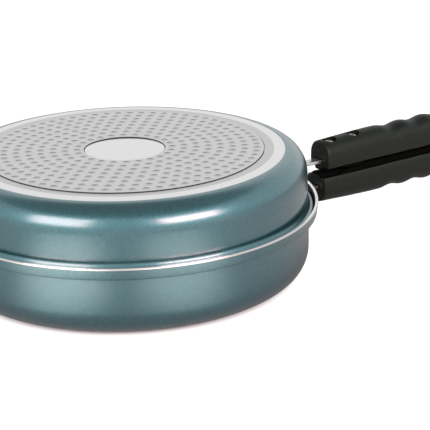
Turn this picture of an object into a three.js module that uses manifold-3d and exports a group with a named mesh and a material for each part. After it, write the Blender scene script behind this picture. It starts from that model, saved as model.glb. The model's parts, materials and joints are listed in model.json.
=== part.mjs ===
// Double omelette pan: two pressed aluminium pans, the upper one turned over and nested in the collar
// of the lower one. Each has a perforated steel disc in its base, a steel bracket riveted to its wall
// and a moulded phenolic handle held on the bracket's tang by two screws.
// Millimetres, +Z up. The origin is on the pan's axis, in the plane that the pan stands on, and the
// handles point along +X.

import * as THREE from 'three';
import { mergeVertices } from 'three/addons/utils/BufferGeometryUtils.js';
import Module from 'manifold-3d';

const wasm = await Module();
wasm.setup();

// Clearances shared by all pieces
const seat_gap = 0.3; // between a curved wall and what is riveted to it, and under the nested rim
const shank_gap = 0.15; // round a rivet or a screw in its hole
const slot_gap = 0.4; // round the tang in the handle
const overrun = 2; // how far a cutting tool reaches past the face that it opens
const mesh_tolerance = 0.0001; // points closer than this are one point

// Facets
const pan_facets = 64;
const small_facets = 16;
const handle_sides = 20;
const shoulder_steps = 6;
const corner_steps = 4;
const groove_steps = 6;
const plate_steps = 8;
const round_steps = 4;
const straight_steps = 4;
const end_steps = 2;

// Pressed pans
const wall_thickness = 2.4;
const floor_thickness = 4.5;
const lower_wall_radius = 114.2; // outside of the lower wall
const upper_wall_inset = 0.9; // how much slimmer the upper pan is
const lower_wall_height = 20.4; // straight part of the lower wall
const upper_wall_height = 13.9; // and of the upper one
const shoulder_width = 14.8; // from the bare base ring out to the lower wall
const shoulder_height = 17; // height at which the rounded corner meets the straight wall
const shoulder_power_share = 2.16; // 2 is a plain ellipse, more is squarer
const inner_corner_inset = 1.5; // how far the cooking floor ends inside the base ring

// Collar: the wall steps outwards and stands up again as a collar with a bare rim
const collar_height = 5.5;
const step_rise_share = 0.52; // rise of the step below the collar, as a share of how far it goes out
const bend_out_share = 0.17; // share of the step's way out that the bend at each of its ends takes
const bend_rise_share = 0.33; // and share of its rise
const lower_step_out = 5; // how far the lower wall steps outwards
const collar_flare = 0.8; // how far the lower collar leans outwards over its height
const collar_flare_share = 0.5; // lean of the upper collar as a share of the lower one's
const rim_edge = 1.8; // width of the bare rim, and thickness of the collar
const nest_gap = 0.3; // between the two collars, where they are closest
const ledge_thickness = 1.8; // metal under the inner ledge that carries the upper rim
const ledge_rise = 0.6; // the ledge's top above the foot of the collar outside

// Base: bare ring, steel disc in a shallow pocket, and boss in the middle of the disc
const disc_thickness = 1.2;
const disc_proud = 0.4; // how far the disc stands below the bare ring
const base_ring_width = 13; // bare ring between the disc and the rounded corner
const disc_hole_radius = 25.2;
const disc_gap = 0.4; // groove between the disc and the pressed base
const bright_ring_width = 6.8; // turned ring at the base's outer edge
const bright_ring_fall = 0.3; // how much that ring falls away outwards

// Bracket: curved plate with a flat tang
const plate_thickness = 2.5;
const plate_margin = 1.2; // straight wall left above and below the plate on the upper pan
const plate_corner = 3;
const tang_width = 7;
const tang_thickness = 2.2;
const tang_embed = 0.5; // how far the tang is sunk in the plate it is welded to
const crank_start = 16; // from the wall to where the upper tang starts to turn aside
const crank_run = 13; // length in which it changes level
const tang_showing = 13.2; // straight length from there to the handle

// Rivets
const rivet_spacing = 30; // between the two rivets, along the wall
const rivet_edge = 6; // from a rivet's middle to the end of the plate
const rivet_shank_radius = 2.5;
const rivet_head_radius = 5;
const rivet_head_height = 2.2;
const rivet_inner_head_radius = 5.5;
const rivet_inner_head_height = 1.6;

// Handles
const handle_half_width = 9.8;
const mating_drop = 7; // from the ledge that carries the upper rim down to the plane between the handles
const lower_tang_drop = 10.4; // from that plane down to the middle of the lower tang
const upper_tang_rise = 7.5; // and up to the middle of the upper tang
const end_gap = 1.6; // from that plane to the handle's inner side at its near end
const grip_gap = 0.25; // and along the grip
const end_reach = 20.8; // from that plane to the handle's outer side at its near end
const grip_reach = 23.1; // and at the first finger crest
const grip_swell = 0.9; // further growth of the outer side up to the last crest
const straight_length = 50.5; // near end of the upper handle to its first crest
const lower_handle_lead = 3; // how much nearer to the pan the lower handle starts
const finger_pitch = 22.5;
const finger_count = 4;
const finger_depth = 1.75;
const tail_length = 31.5; // last crest to the far end
const closing_length = 12.5; // length before the first crest in which the handles come closer
const tip_round = 12; // length of the rounded far end
const end_round = 1.2; // edge rounding at the near end
const outer_power_share = 2.25;
const inner_power_share = 2.35;
const pad_start = 12.5; // raised oval pad on the inner side
const pad_length = 24;
const pad_sink = 3.4; // half height of the oval that the pad is the top of
const pad_half_width = 4.6;
const hang_hole_length = 15;
const hang_hole_width = 8;
const hang_hole_inset = 17; // middle of the hanging hole from the far end

// Handle screws
const screw_start = 8.5; // near end of the handle to the first screw
const screw_spacing = 20.5;
const screw_radius = 1.8;
const screw_head_radius = 3.75;
const screw_head_height = 2.6;
const screw_head_depth = 2; // from the handle's outer side down to the top of the head
const screw_recess_radius = 5.2;
const screw_tip_length = 1; // how far a screw reaches past the tang
const screw_tip_taper = 0.5;
const screw_head_round = 0.9; // edge of the head
const screw_head_gap = 0.1; // under the head
const screw_slot_width = 0.9;
const screw_slot_length = 4.2;
const screw_slot_depth = 1.3;
const tang_past_screw = 8; // from the second screw to the tang's end

// Sizes that follow from those above
const base_radius = lower_wall_radius - shoulder_width;
const disc_radius = base_radius - base_ring_width;
const collar_inner_radius = lower_wall_radius + lower_step_out - rim_edge;
const upper_wall_radius = lower_wall_radius - upper_wall_inset;
const upper_flare = collar_flare * collar_flare_share;
const upper_step_out = collar_inner_radius - nest_gap - upper_flare - upper_wall_radius;
const lower_step_foot = shoulder_height + lower_wall_height;
const upper_step_foot = shoulder_height + upper_wall_height;
const lower_collar_foot = lower_step_foot + lower_step_out * step_rise_share;
const upper_collar_foot = upper_step_foot + upper_step_out * step_rise_share;
const ledge_height = lower_collar_foot + ledge_rise;
const total_height = ledge_height + seat_gap + upper_collar_foot + collar_height;
const mating_height = ledge_height - mating_drop;
const plate_height = upper_wall_height - 2 * plate_margin;
const plate_width = rivet_spacing + 2 * rivet_edge;
const handle_start = upper_wall_radius + crank_start + crank_run + tang_showing;
const handle_length = straight_length + finger_count * finger_pitch + tail_length;

// What differs between the two halves, each in its own frame with the base down at z = 0
const lower = {
  name: 'lower',
  wall_radius: lower_wall_radius,
  step_foot: lower_step_foot,
  collar_foot: lower_collar_foot,
  step_out: lower_step_out,
  flare: collar_flare,
  plate_middle: (shoulder_height + lower_step_foot) / 2,
  tang_level: mating_height - lower_tang_drop,
  tang_root: mating_height - lower_tang_drop,
  mating_level: mating_height,
  handle_lead: lower_handle_lead,
};
const upper = {
  name: 'upper',
  wall_radius: upper_wall_radius,
  step_foot: upper_step_foot,
  collar_foot: upper_collar_foot,
  step_out: upper_step_out,
  flare: upper_flare,
  plate_middle: (shoulder_height + upper_step_foot) / 2,
  tang_level: total_height - mating_height - upper_tang_rise,
  tang_root: (shoulder_height + upper_step_foot + plate_height) / 2 - tang_thickness,
  mating_level: total_height - mating_height,
  handle_lead: 0,
};

// Finishes
const finishes = {
  enamel: { color: 0x5e858a, roughness: 0.35, metalness: 0.6 },
  steel_disc: { color: 0xc6c7c8, roughness: 0.4, metalness: 0.8 },
  bracket_steel: { color: 0xcfd0d0, roughness: 0.35, metalness: 0.9 },
  rivet_aluminium: { color: 0xd6d7d8, roughness: 0.4, metalness: 0.9 },
  phenolic: { color: 0x2c2c2a, roughness: 0.45, metalness: 0.0 },
  screw_steel: { color: 0xd2d2d0, roughness: 0.3, metalness: 0.9 },
};

// Turns a three.js geometry into a closed solid that can be cut and joined.
function solidOf(geometry) {
  const bare = geometry.index ? geometry.clone() : geometry;
  bare.deleteAttribute('normal');
  bare.deleteAttribute('uv');
  const merged = mergeVertices(bare, mesh_tolerance);
  const index = merged.index.array;
  const corners = [];
  for (let i = 0; i < index.length; i += 3) {
    const [a, b, c] = [index[i], index[i + 1], index[i + 2]];
    if (a !== b && b !== c && c !== a) corners.push(a, b, c);
  }
  const mesh = new wasm.Mesh({
    numProp: 3,
    vertProperties: Float32Array.from(merged.attributes.position.array),
    triVerts: Uint32Array.from(corners),
  });
  return new wasm.Manifold(mesh);
}

// Turns a solid back into a geometry.
function geometryOf(solid) {
  const mesh = solid.getMesh();
  const geometry = new THREE.BufferGeometry();
  geometry.setAttribute('position', new THREE.BufferAttribute(mesh.vertProperties, 3));
  geometry.setIndex(new THREE.BufferAttribute(mesh.triVerts, 1));
  geometry.computeVertexNormals();
  return geometry;
}

// A solid of revolution about Z from a profile of [radius, height] pairs.
function turned(profile, facets) {
  const points = profile.map(([radius, height]) => new THREE.Vector2(radius, height));
  const geometry = new THREE.LatheGeometry(points, facets);
  geometry.rotateX(Math.PI / 2);
  return solidOf(geometry);
}

// A flat outline of [x, y] pairs, given a height along Z and lifted to a level.
function prism(outline, height, level) {
  const shape = new THREE.Shape(outline.map(([x, y]) => new THREE.Vector2(x, y)));
  const geometry = new THREE.ExtrudeGeometry(shape, { depth: height, bevelEnabled: false });
  geometry.translate(0, 0, level);
  return solidOf(geometry);
}

// A vertical cylinder between two levels.
function peg(radius, x, y, low, high) {
  const geometry = new THREE.CylinderGeometry(radius, radius, high - low, small_facets);
  geometry.rotateX(Math.PI / 2);
  geometry.translate(x, y, (low + high) / 2);
  return solidOf(geometry);
}

// A box between two corners.
function block(low, high) {
  const size = high.map((value, axis) => value - low[axis]);
  const geometry = new THREE.BoxGeometry(...size);
  geometry.translate(...low.map((value, axis) => value + size[axis] / 2));
  return solidOf(geometry);
}

// A skin through rings of the same number of points, closed by a flat fan at each end.
function lofted(rings) {
  const sides = rings[0].length;
  const positions = rings.flat(2);
  const index = [];
  for (let ring = 0; ring < rings.length - 1; ring++) {
    for (let side = 0; side < sides; side++) {
      const next = (side + 1) % sides;
      const a = ring * sides + side;
      const b = ring * sides + next;
      const c = a + sides;
      const d = b + sides;
      index.push(a, b, d, a, d, c);
    }
  }
  const last = (rings.length - 1) * sides;
  for (let side = 1; side < sides - 1; side++) {
    index.push(0, side + 1, side);
    index.push(last, last + side, last + side + 1);
  }
  const geometry = new THREE.BufferGeometry();
  geometry.setAttribute('position', new THREE.BufferAttribute(new Float32Array(positions), 3));
  geometry.setIndex(index);
  return solidOf(geometry);
}

// Points on a quarter of a superellipse: out from the start, then up to the end.
function quarter(start, end, power, steps) {
  const points = [];
  for (let step = 0; step <= steps; step++) {
    const angle = (step / steps) * (Math.PI / 2);
    const across = Math.sin(angle) ** (2 / power);
    const along = 1 - Math.cos(angle) ** (2 / power);
    points.push([
      start[0] + (end[0] - start[0]) * across,
      start[1] + (end[1] - start[1]) * (step === steps ? 1 : along),
    ]);
  }
  return points;
}

// Profile of one pressed pan: outside from the boss to the rim, then back along the inside.
function panProfile(half) {
  const wall = half.wall_radius;
  const inside = wall - wall_thickness;
  const collar = wall + half.step_out;
  const rim = collar + half.flare;
  const rim_level = half.collar_foot + collar_height;
  const ledge = half.collar_foot + ledge_rise;
  const bend_out = half.step_out * bend_out_share;
  const bend_rise = (half.collar_foot - half.step_foot) * bend_rise_share;
  const edge_level = disc_proud + bright_ring_fall;
  return [
    [0, 0],
    [disc_hole_radius - disc_gap, 0],
    [disc_hole_radius - disc_gap, disc_thickness],
    [disc_radius + disc_gap, disc_thickness],
    [disc_radius + disc_gap, disc_proud],
    [base_radius - bright_ring_width, disc_proud],
    ...quarter([base_radius, edge_level], [wall, shoulder_height], shoulder_power_share, shoulder_steps),
    [wall, half.step_foot],
    [wall + bend_out, half.step_foot + bend_rise],
    [collar - bend_out, half.collar_foot - bend_rise],
    [collar, half.collar_foot],
    [rim, rim_level],
    [rim - rim_edge, rim_level],
    [collar - rim_edge, ledge],
    [inside + wall_thickness / 2, ledge],
    [inside, ledge - ledge_thickness],
    ...quarter(
      [base_radius - inner_corner_inset, floor_thickness],
      [inside, shoulder_height],
      shoulder_power_share,
      corner_steps,
    ).reverse(),
    [0, floor_thickness],
  ];
}

// Pressed pan with the two rivet holes drilled through its wall.
function pan(half) {
  let body = turned(panProfile(half), pan_facets);
  for (const side of [-1, 1]) body = body.subtract(rivetHole(half, side));
  return geometryOf(body);
}

// Perforated steel disc, a plain ring here.
function inductionDisc() {
  const profile = [
    [disc_hole_radius, 0],
    [disc_radius, 0],
    [disc_radius, disc_thickness],
    [disc_hole_radius, disc_thickness],
    [disc_hole_radius, 0],
  ];
  return geometryOf(turned(profile, pan_facets));
}

// Angle round the pan at which a rivet sits, on one side of the handle.
function rivetAngle(half, side) {
  return (side * rivet_spacing) / 2 / half.wall_radius;
}

// Radial hole for a rivet, through wall and plate.
function rivetHole(half, side) {
  const radius = rivet_shank_radius + shank_gap;
  const length = wall_thickness + seat_gap + plate_thickness + 2 * overrun;
  const geometry = new THREE.CylinderGeometry(radius, radius, length, small_facets);
  geometry.rotateZ(Math.PI / 2);
  geometry.translate(half.wall_radius - wall_thickness - overrun + length / 2, 0, 0);
  geometry.rotateZ(rivetAngle(half, side));
  geometry.translate(0, 0, half.plate_middle);
  return solidOf(geometry);
}

// Curved plate that follows the wall, with its corners cut off.
function plate(half) {
  const inner = half.wall_radius + seat_gap;
  const spread = plate_width / 2 / half.wall_radius;
  const outline = [];
  for (const radius of [inner, inner + plate_thickness]) {
    const arc = [];
    for (let step = 0; step <= plate_steps; step++) {
      const angle = spread * ((2 * step) / plate_steps - 1);
      arc.push([radius * Math.cos(angle), radius * Math.sin(angle)]);
    }
    outline.push(...(radius === inner ? arc : arc.reverse()));
  }
  let body = prism(outline, plate_height, half.plate_middle - plate_height / 2);
  const reach = inner + plate_thickness + overrun;
  for (const side of [-1, 1]) {
    for (const end of [-1, 1]) {
      const corner = [
        [side * (plate_width / 2 - plate_corner), (end * (plate_height + overrun)) / 2],
        [side * (plate_width / 2 + overrun), (end * (plate_height + overrun)) / 2],
        [side * (plate_width / 2 + overrun), end * (plate_height / 2 - plate_corner)],
        [side * (plate_width / 2), end * (plate_height / 2 - plate_corner)],
        [side * (plate_width / 2 - plate_corner), (end * plate_height) / 2],
      ];
      body = body.subtract(sideways(side * end > 0 ? corner : corner.reverse(), reach, half.plate_middle));
    }
  }
  return body;
}

// An outline of [y, z] pairs run along X from the axis, raised to a level.
function sideways(outline, length, level) {
  const shape = new THREE.Shape(outline.map(([y, z]) => new THREE.Vector2(y, z)));
  const geometry = new THREE.ExtrudeGeometry(shape, { depth: length, bevelEnabled: false });
  geometry.rotateX(Math.PI / 2);
  geometry.rotateZ(Math.PI / 2);
  geometry.translate(0, 0, level);
  return solidOf(geometry);
}

// Places of the two handle screws along X.
function screwPlaces() {
  return [0, 1].map((number) => handle_start + screw_start + number * screw_spacing);
}

// Far end of the tang inside the handle.
function tangEnd() {
  return handle_start + screw_start + screw_spacing + tang_past_screw;
}

// Flat tang, seen from its side: straight on the lower half, cranked on the upper one.
function tang(half) {
  const start = half.wall_radius + seat_gap + plate_thickness - tang_embed;
  const bend = half.wall_radius + crank_start;
  const cranked = Math.abs(half.tang_level - half.tang_root) > mesh_tolerance;
  const line = [[start, half.tang_root]];
  if (cranked) line.push([bend, half.tang_root], [bend + crank_run, half.tang_level]);
  line.push([tangEnd(), half.tang_level]);
  const slope = Math.atan2(half.tang_level - half.tang_root, crank_run) / 2;
  const shift = cranked ? (tang_thickness / 2) * Math.tan(slope) : 0;
  const under = line.map(([x, z], i) => [x + (i === 1 || i === 2 ? shift : 0), z - tang_thickness / 2]);
  const over = line.map(([x, z], i) => [x - (i === 1 || i === 2 ? shift : 0), z + tang_thickness / 2]);
  const shape = new THREE.Shape([...under, ...over.reverse()].map(([x, z]) => new THREE.Vector2(x, z)));
  const geometry = new THREE.ExtrudeGeometry(shape, { depth: tang_width, bevelEnabled: false });
  geometry.translate(0, 0, -tang_width / 2);
  geometry.rotateX(Math.PI / 2);
  return solidOf(geometry);
}

// Steel bracket: plate and tang in one, drilled for rivets and tapped for screws.
function bracket(half) {
  let body = plate(half).add(tang(half));
  for (const side of [-1, 1]) body = body.subtract(rivetHole(half, side));
  for (const x of screwPlaces()) {
    const reach = tang_thickness / 2 + overrun;
    body = body.subtract(
      peg(screw_radius + shank_gap, x, 0, half.tang_level - reach, half.tang_level + reach),
    );
  }
  return geometryOf(body);
}

// Points of a domed head from its edge at the seat to its tip on the axis.
function dome(seat, radius, height) {
  const points = [];
  for (let step = 0; step <= round_steps; step++) {
    const angle = (step / round_steps) * (Math.PI / 2);
    points.push([step === round_steps ? 0 : radius * Math.cos(angle), seat + height * Math.sin(angle)]);
  }
  return points;
}

// Rivet along X: low head inside the pan, domed head on the plate.
function rivet(half, side) {
  const inner_seat = half.wall_radius - wall_thickness - seat_gap;
  const outer_seat = half.wall_radius + plate_thickness + 2 * seat_gap;
  const profile = [
    ...dome(inner_seat, rivet_inner_head_radius, -rivet_inner_head_height).reverse(),
    [rivet_shank_radius, inner_seat],
    [rivet_shank_radius, outer_seat],
    ...dome(outer_seat, rivet_head_radius, rivet_head_height),
  ];
  const solid = turned(profile, small_facets);
  const geometry = geometryOf(solid);
  geometry.rotateY(Math.PI / 2);
  geometry.rotateZ(rivetAngle(half, side));
  geometry.translate(0, 0, half.plate_middle);
  return geometry;
}

// Smooth step from 0 to 1 between two places.
function ease(place, start, end) {
  const share = Math.min(1, Math.max(0, (place - start) / (end - start)));
  return share * share * (3 - 2 * share);
}

// Distance of the handle's outer side from the plane between the handles.
function outerReach(place) {
  const grip_end = handle_length - tail_length;
  const along = (place - straight_length) / finger_pitch;
  const grown = end_reach + (grip_reach - end_reach) * ease(place, -straight_length / 2, straight_length);
  const swell = (grip_swell * Math.min(Math.max(along, 0), finger_count)) / finger_count;
  const in_grip = place > straight_length && place < grip_end;
  const groove = in_grip ? (finger_depth * (1 - Math.cos(2 * Math.PI * along))) / 2 : 0;
  return grown + swell - groove;
}

// Distance of its inner side from that plane.
function innerGap(place) {
  return end_gap + (grip_gap - end_gap) * ease(place, straight_length - closing_length, straight_length);
}

// One ring of the handle's skin: rounder outside, flatter towards the other handle.
function handleRing(half, place, shrink_share) {
  const near = innerGap(place);
  const far = outerReach(place);
  const middle = half.mating_level - (near + far) / 2;
  const half_height = ((far - near) / 2) * shrink_share;
  const half_width = handle_half_width * shrink_share;
  const ring = [];
  for (let side = 0; side < handle_sides; side++) {
    const angle = ((side + 1 / 2) / handle_sides) * 2 * Math.PI;
    const across = Math.cos(angle);
    const up = Math.sin(angle);
    const power = up > 0 ? inner_power_share : outer_power_share;
    ring.push([
      handle_start + place,
      half_width * Math.sign(across) * Math.abs(across) ** (2 / power),
      middle + half_height * Math.sign(up) * Math.abs(up) ** (2 / power),
    ]);
  }
  return ring;
}

// Places along the handle where its skin has a ring, each with the share of the full section there.
function handleStations(half) {
  const stations = [];
  const near_end = -half.handle_lead;
  for (let step = 0; step <= end_steps; step++) {
    const angle = (step / end_steps) * (Math.PI / 2);
    const inset_share = (end_round / handle_half_width) * (1 - Math.sin(angle));
    stations.push([near_end + end_round * (1 - Math.cos(angle)), 1 - inset_share]);
  }
  const first = near_end + end_round;
  for (let step = 1; step < straight_steps; step++) {
    stations.push([first + ((straight_length - first) * step) / straight_steps, 1]);
  }
  for (let step = 0; step <= finger_count * groove_steps; step++) {
    stations.push([straight_length + (step * finger_pitch) / groove_steps, 1]);
  }
  const last = (round_steps / (round_steps + 1 / 2)) * (Math.PI / 2);
  for (let step = 0; step <= round_steps; step++) {
    const angle = (step / round_steps) * last;
    const reach = (tip_round * Math.sin(angle)) / Math.sin(last);
    stations.push([handle_length - tip_round + reach, Math.cos(angle) ** (1 / 2)]);
  }
  return stations;
}

// Pad raised on the handle's inner side, an oval seen from the side.
function pad(half) {
  const geometry = new THREE.CylinderGeometry(pad_sink, pad_sink, 2 * pad_half_width, 2 * small_facets);
  const middle = handle_start + pad_start + pad_length / 2;
  geometry.scale(pad_length / 2 / pad_sink, 1, 1);
  geometry.translate(middle, 0, half.mating_level - grip_gap - pad_sink);
  return solidOf(geometry);
}

// Oval outline of the hanging hole.
function hangHole(half) {
  const middle = handle_start + handle_length - hang_hole_inset;
  const reach = (hang_hole_length - hang_hole_width) / 2;
  const outline = [];
  for (const end of [1, -1]) {
    for (let step = 0; step <= 2 * round_steps; step++) {
      const angle = (step / (2 * round_steps) - 1 / 2) * Math.PI;
      outline.push([
        middle + end * (reach + (hang_hole_width / 2) * Math.cos(angle)),
        (end * hang_hole_width * Math.sin(angle)) / 2,
      ]);
    }
  }
  const depth = grip_reach + grip_swell + 2 * overrun;
  return prism(outline, depth, half.mating_level - depth + overrun);
}

// Level of the underside of a screw head, at its place along the handle.
function headSeat(half, x) {
  return half.mating_level - outerReach(x - handle_start) + screw_head_depth + screw_head_height;
}

// Moulded handle, with its tang slot, screw recesses, screw holes and hanging hole.
function handle(half) {
  let body = lofted(handleStations(half).map(([place, share]) => handleRing(half, place, share)));
  body = body.add(pad(half));
  const slot_half_width = tang_width / 2 + slot_gap;
  const slot_half_height = tang_thickness / 2 + slot_gap;
  body = body.subtract(
    block(
      [handle_start - half.handle_lead - overrun, -slot_half_width, half.tang_level - slot_half_height],
      [tangEnd() + slot_gap, slot_half_width, half.tang_level + slot_half_height],
    ),
  );
  const bottom = half.mating_level - grip_reach - grip_swell - overrun;
  for (const x of screwPlaces()) {
    const tip = half.tang_level + tang_thickness / 2 + screw_tip_length + slot_gap;
    body = body.subtract(peg(screw_recess_radius, x, 0, bottom, headSeat(half, x)));
    body = body.subtract(peg(screw_radius + shank_gap, x, 0, bottom, tip));
  }
  return geometryOf(body.subtract(hangHole(half)));
}

// Handle screw: domed head with a crossed slot, and a shank that ends past the tang.
function screw(half, x) {
  const seat = headSeat(half, x) - screw_head_gap;
  const head = seat - screw_head_height;
  const tip = half.tang_level + tang_thickness / 2 + screw_tip_length;
  const profile = [
    [0, head],
    [screw_head_radius - screw_head_round, head],
    [screw_head_radius, head + screw_head_round],
    [screw_head_radius, seat],
    [screw_radius, seat],
    [screw_radius, tip - screw_tip_taper],
    [screw_radius - screw_tip_taper, tip],
    [0, tip],
  ];
  let body = turned(profile, small_facets);
  const across = screw_slot_width / 2;
  const along = screw_slot_length / 2;
  body = body.subtract(block([-along, -across, head - overrun], [along, across, head + screw_slot_depth]));
  body = body.subtract(block([-across, -along, head - overrun], [across, along, head + screw_slot_depth]));
  const geometry = geometryOf(body);
  geometry.translate(x, 0, 0);
  return geometry;
}

// One half of the pan as a group of named pieces.
function buildHalf(half) {
  const group = new THREE.Group();
  const place = (name, geometry, finish) => {
    const mesh = new THREE.Mesh(geometry, new THREE.MeshStandardMaterial(finish));
    mesh.name = `${half.name}_${name}`;
    group.add(mesh);
  };
  place('pan', pan(half), finishes.enamel);
  place('induction_disc', inductionDisc(), finishes.steel_disc);
  place('handle_bracket', bracket(half), finishes.bracket_steel);
  place('rivet_right', rivet(half, -1), finishes.rivet_aluminium);
  place('rivet_left', rivet(half, 1), finishes.rivet_aluminium);
  place('handle', handle(half), finishes.phenolic);
  const [near, far] = screwPlaces();
  place('handle_screw_near', screw(half, near), finishes.screw_steel);
  place('handle_screw_far', screw(half, far), finishes.screw_steel);
  return group;
}

const lower_half = buildHalf(lower);
const upper_half = buildHalf(upper);
upper_half.rotation.x = Math.PI;
upper_half.position.z = total_height;

const omelette_pan = new THREE.Group();
omelette_pan.add(lower_half, upper_half);

export default omelette_pan;
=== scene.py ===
"""Double omelette pan: two nested pressed pans, each with a dimpled steel disc in its base, a riveted
bracket and a screwed phenolic handle, on a pale studio floor.

Metres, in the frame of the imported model: the origin is where the pans' axis meets the floor, +Z is up
and the handles point along +X. Each half is built with its base down at z = 0, and the upper one is
then turned over.
"""

import json
import logging
import math
from collections.abc import Callable, Sequence
from dataclasses import dataclass
from enum import Enum, IntEnum
from functools import cache

import bmesh
import bpy
from mathutils import Matrix, Vector

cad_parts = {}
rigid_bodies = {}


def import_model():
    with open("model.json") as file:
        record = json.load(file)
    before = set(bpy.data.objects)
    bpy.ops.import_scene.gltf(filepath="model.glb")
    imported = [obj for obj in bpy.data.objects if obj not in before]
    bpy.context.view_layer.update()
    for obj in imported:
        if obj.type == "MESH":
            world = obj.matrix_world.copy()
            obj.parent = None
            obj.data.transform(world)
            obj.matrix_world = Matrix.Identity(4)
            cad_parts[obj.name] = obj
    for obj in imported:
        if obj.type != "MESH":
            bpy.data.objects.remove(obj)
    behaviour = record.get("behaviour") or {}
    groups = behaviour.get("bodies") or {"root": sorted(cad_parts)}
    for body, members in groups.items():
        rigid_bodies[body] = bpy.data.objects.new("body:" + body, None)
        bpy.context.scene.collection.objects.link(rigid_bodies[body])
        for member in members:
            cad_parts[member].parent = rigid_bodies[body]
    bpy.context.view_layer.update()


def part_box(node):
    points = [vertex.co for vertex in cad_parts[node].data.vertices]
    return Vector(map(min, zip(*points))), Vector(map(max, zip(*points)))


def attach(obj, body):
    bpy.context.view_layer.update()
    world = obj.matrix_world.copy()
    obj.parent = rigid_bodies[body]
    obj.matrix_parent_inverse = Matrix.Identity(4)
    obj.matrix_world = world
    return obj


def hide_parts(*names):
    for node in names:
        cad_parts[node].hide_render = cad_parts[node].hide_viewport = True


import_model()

LOG = logging.getLogger("omelette_pan")
MM = 0.001
ORIGIN = Vector((0, 0, 0))
UPWARDS = Vector((0, 0, 1))
MERGE_DISTANCE = 0.002 * MM
SMOOTH_ANGLE = math.radians(32)
PAN_STEPS = 192
SMALL_STEPS = 40
CORNER_STEPS = 5
START_SIZE = 1 * MM
RIVETS = ("rivet_right", "rivet_left")
SCREWS = ("handle_screw_near", "handle_screw_far")
SQUARE = ((-1, -1), (1, -1), (1, 1), (-1, 1))


# Outlines


@dataclass(frozen=True)
class Corner:
    """A corner of an outline.

    Args:
        out: distance from the axis, or along the outline's first direction.
        up: height, or distance along its second direction.
        radius: radius that the corner is rounded to.
    """

    out: float
    up: float
    radius: float = 0.0

    def point(self) -> Vector:
        """The corner as a flat point."""
        return Vector((self.out, self.up))


def rounded(corners: Sequence[Corner]) -> list[Vector]:
    """Rounds the corners of an open outline by arcs.

    Args:
        corners: the corners in order; the first and the last stay sharp.

    Returns:
        The flat points of the outline.
    """
    points = [corners[0].point()]
    for before, here, after in zip(corners, corners[1:], corners[2:]):
        middle = here.point()
        back = before.point() - middle
        ahead = after.point() - middle
        if here.radius == 0.0:
            points.append(middle)
            continue
        half_angle = back.angle(ahead) / 2
        reach = min(here.radius / math.tan(half_angle), back.length / 2, ahead.length / 2)
        back.normalize()
        ahead.normalize()
        bisector = (back + ahead).normalized()
        centre = middle + bisector * (reach / math.cos(half_angle))
        start = middle + back * reach - centre
        end = middle + ahead * reach - centre
        arc_radius = start.length
        for step in range(CORNER_STEPS + 1):
            arm = start.normalized().slerp(end.normalized(), step / CORNER_STEPS)
            points.append(centre + arm * arc_radius)
    points.append(corners[-1].point())
    return points


def quarter(start: Vector, end: Vector, power: float, steps: int) -> list[Corner]:
    """Draws a quarter of a superellipse, out from its start and then up to its end.

    Args:
        start: first point, where the curve runs outwards.
        end: last point, where it runs upwards.
        power: 2 is a plain ellipse and more is squarer.
        steps: number of pieces.

    Returns:
        The points as sharp corners of an outline.
    """
    corners = []
    for step in range(steps + 1):
        angle = step / steps * math.pi / 2
        across = math.sin(angle) ** (2 / power)
        along = 1 - max(math.cos(angle), 0.0) ** (2 / power)
        corners.append(Corner(start.x + (end.x - start.x) * across, start.y + (end.y - start.y) * along))
    return corners


def upright(outline: Sequence[Vector], axis_place: Vector = ORIGIN) -> list[Vector]:
    """Stands a flat outline up in the XZ plane beside a vertical axis.

    Args:
        outline: flat points, the distance from the axis first.
        axis_place: a point on the axis.

    Returns:
        The points in space.
    """
    return [axis_place + Vector((point.x, 0, point.y)) for point in outline]


# Modelling by hand in edit mode


def trace(points: Sequence[Vector]) -> bpy.types.Object:
    """Draws a line of edges through points, each vertex extruded from the last, and stays in edit mode.

    Args:
        points: the places of the vertices in order.

    Returns:
        The new object, at the origin, with all of it selected.
    """
    bpy.ops.object.select_all(action="DESELECT")
    bpy.ops.mesh.primitive_plane_add(size=START_SIZE)
    piece = bpy.context.object
    bpy.ops.object.mode_set(mode="EDIT")
    bpy.ops.mesh.select_mode(type="VERT")
    bpy.ops.mesh.select_all(action="SELECT")
    bpy.ops.mesh.merge(type="CENTER")
    bpy.ops.transform.translate(value=points[0])
    for here, there in zip(points, points[1:]):
        bpy.ops.mesh.extrude_region_move(TRANSFORM_OT_translate={"value": there - here})
    bpy.ops.mesh.select_all(action="SELECT")
    return piece


def close_up() -> None:
    """Merges the doubles of the piece in edit mode, turns its faces outwards and leaves edit mode."""
    bpy.ops.mesh.select_all(action="SELECT")
    bpy.ops.mesh.remove_doubles(threshold=MERGE_DISTANCE)
    bpy.ops.mesh.normals_make_consistent(inside=False)
    bpy.ops.object.mode_set(mode="OBJECT")


def spun(points: Sequence[Vector], centre: Vector, axis: Vector, steps: int) -> bpy.types.Object:
    """Turns an outline all the way round an axis.

    Args:
        points: outline that starts and ends on the axis, or ends where it starts.
        centre: a point on the axis.
        axis: its direction.
        steps: number of facets round it.

    Returns:
        The closed piece, out of edit mode.
    """
    piece = trace(points)
    bpy.ops.mesh.spin(steps=steps, angle=2 * math.pi, center=centre, axis=axis)
    close_up()
    return piece


def filled(points: Sequence[Vector]) -> bpy.types.Object:
    """Fills a closed flat outline, staying in edit mode with its face selected.

    Args:
        points: outline, without its first point again at the end.

    Returns:
        The piece in edit mode.
    """
    piece = trace([*points, points[0]])
    bpy.ops.mesh.remove_doubles(threshold=MERGE_DISTANCE)
    bpy.ops.mesh.edge_face_add()
    return piece


def run_out(points: Sequence[Vector], travel: Vector) -> bpy.types.Object:
    """Fills a closed flat outline and extrudes it, staying in edit mode.

    Args:
        points: outline, without its first point again at the end.
        travel: how far and which way it is extruded.

    Returns:
        The piece in edit mode.
    """
    piece = filled(points)
    bpy.ops.mesh.extrude_region_move(TRANSFORM_OT_translate={"value": travel})
    return piece


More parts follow.
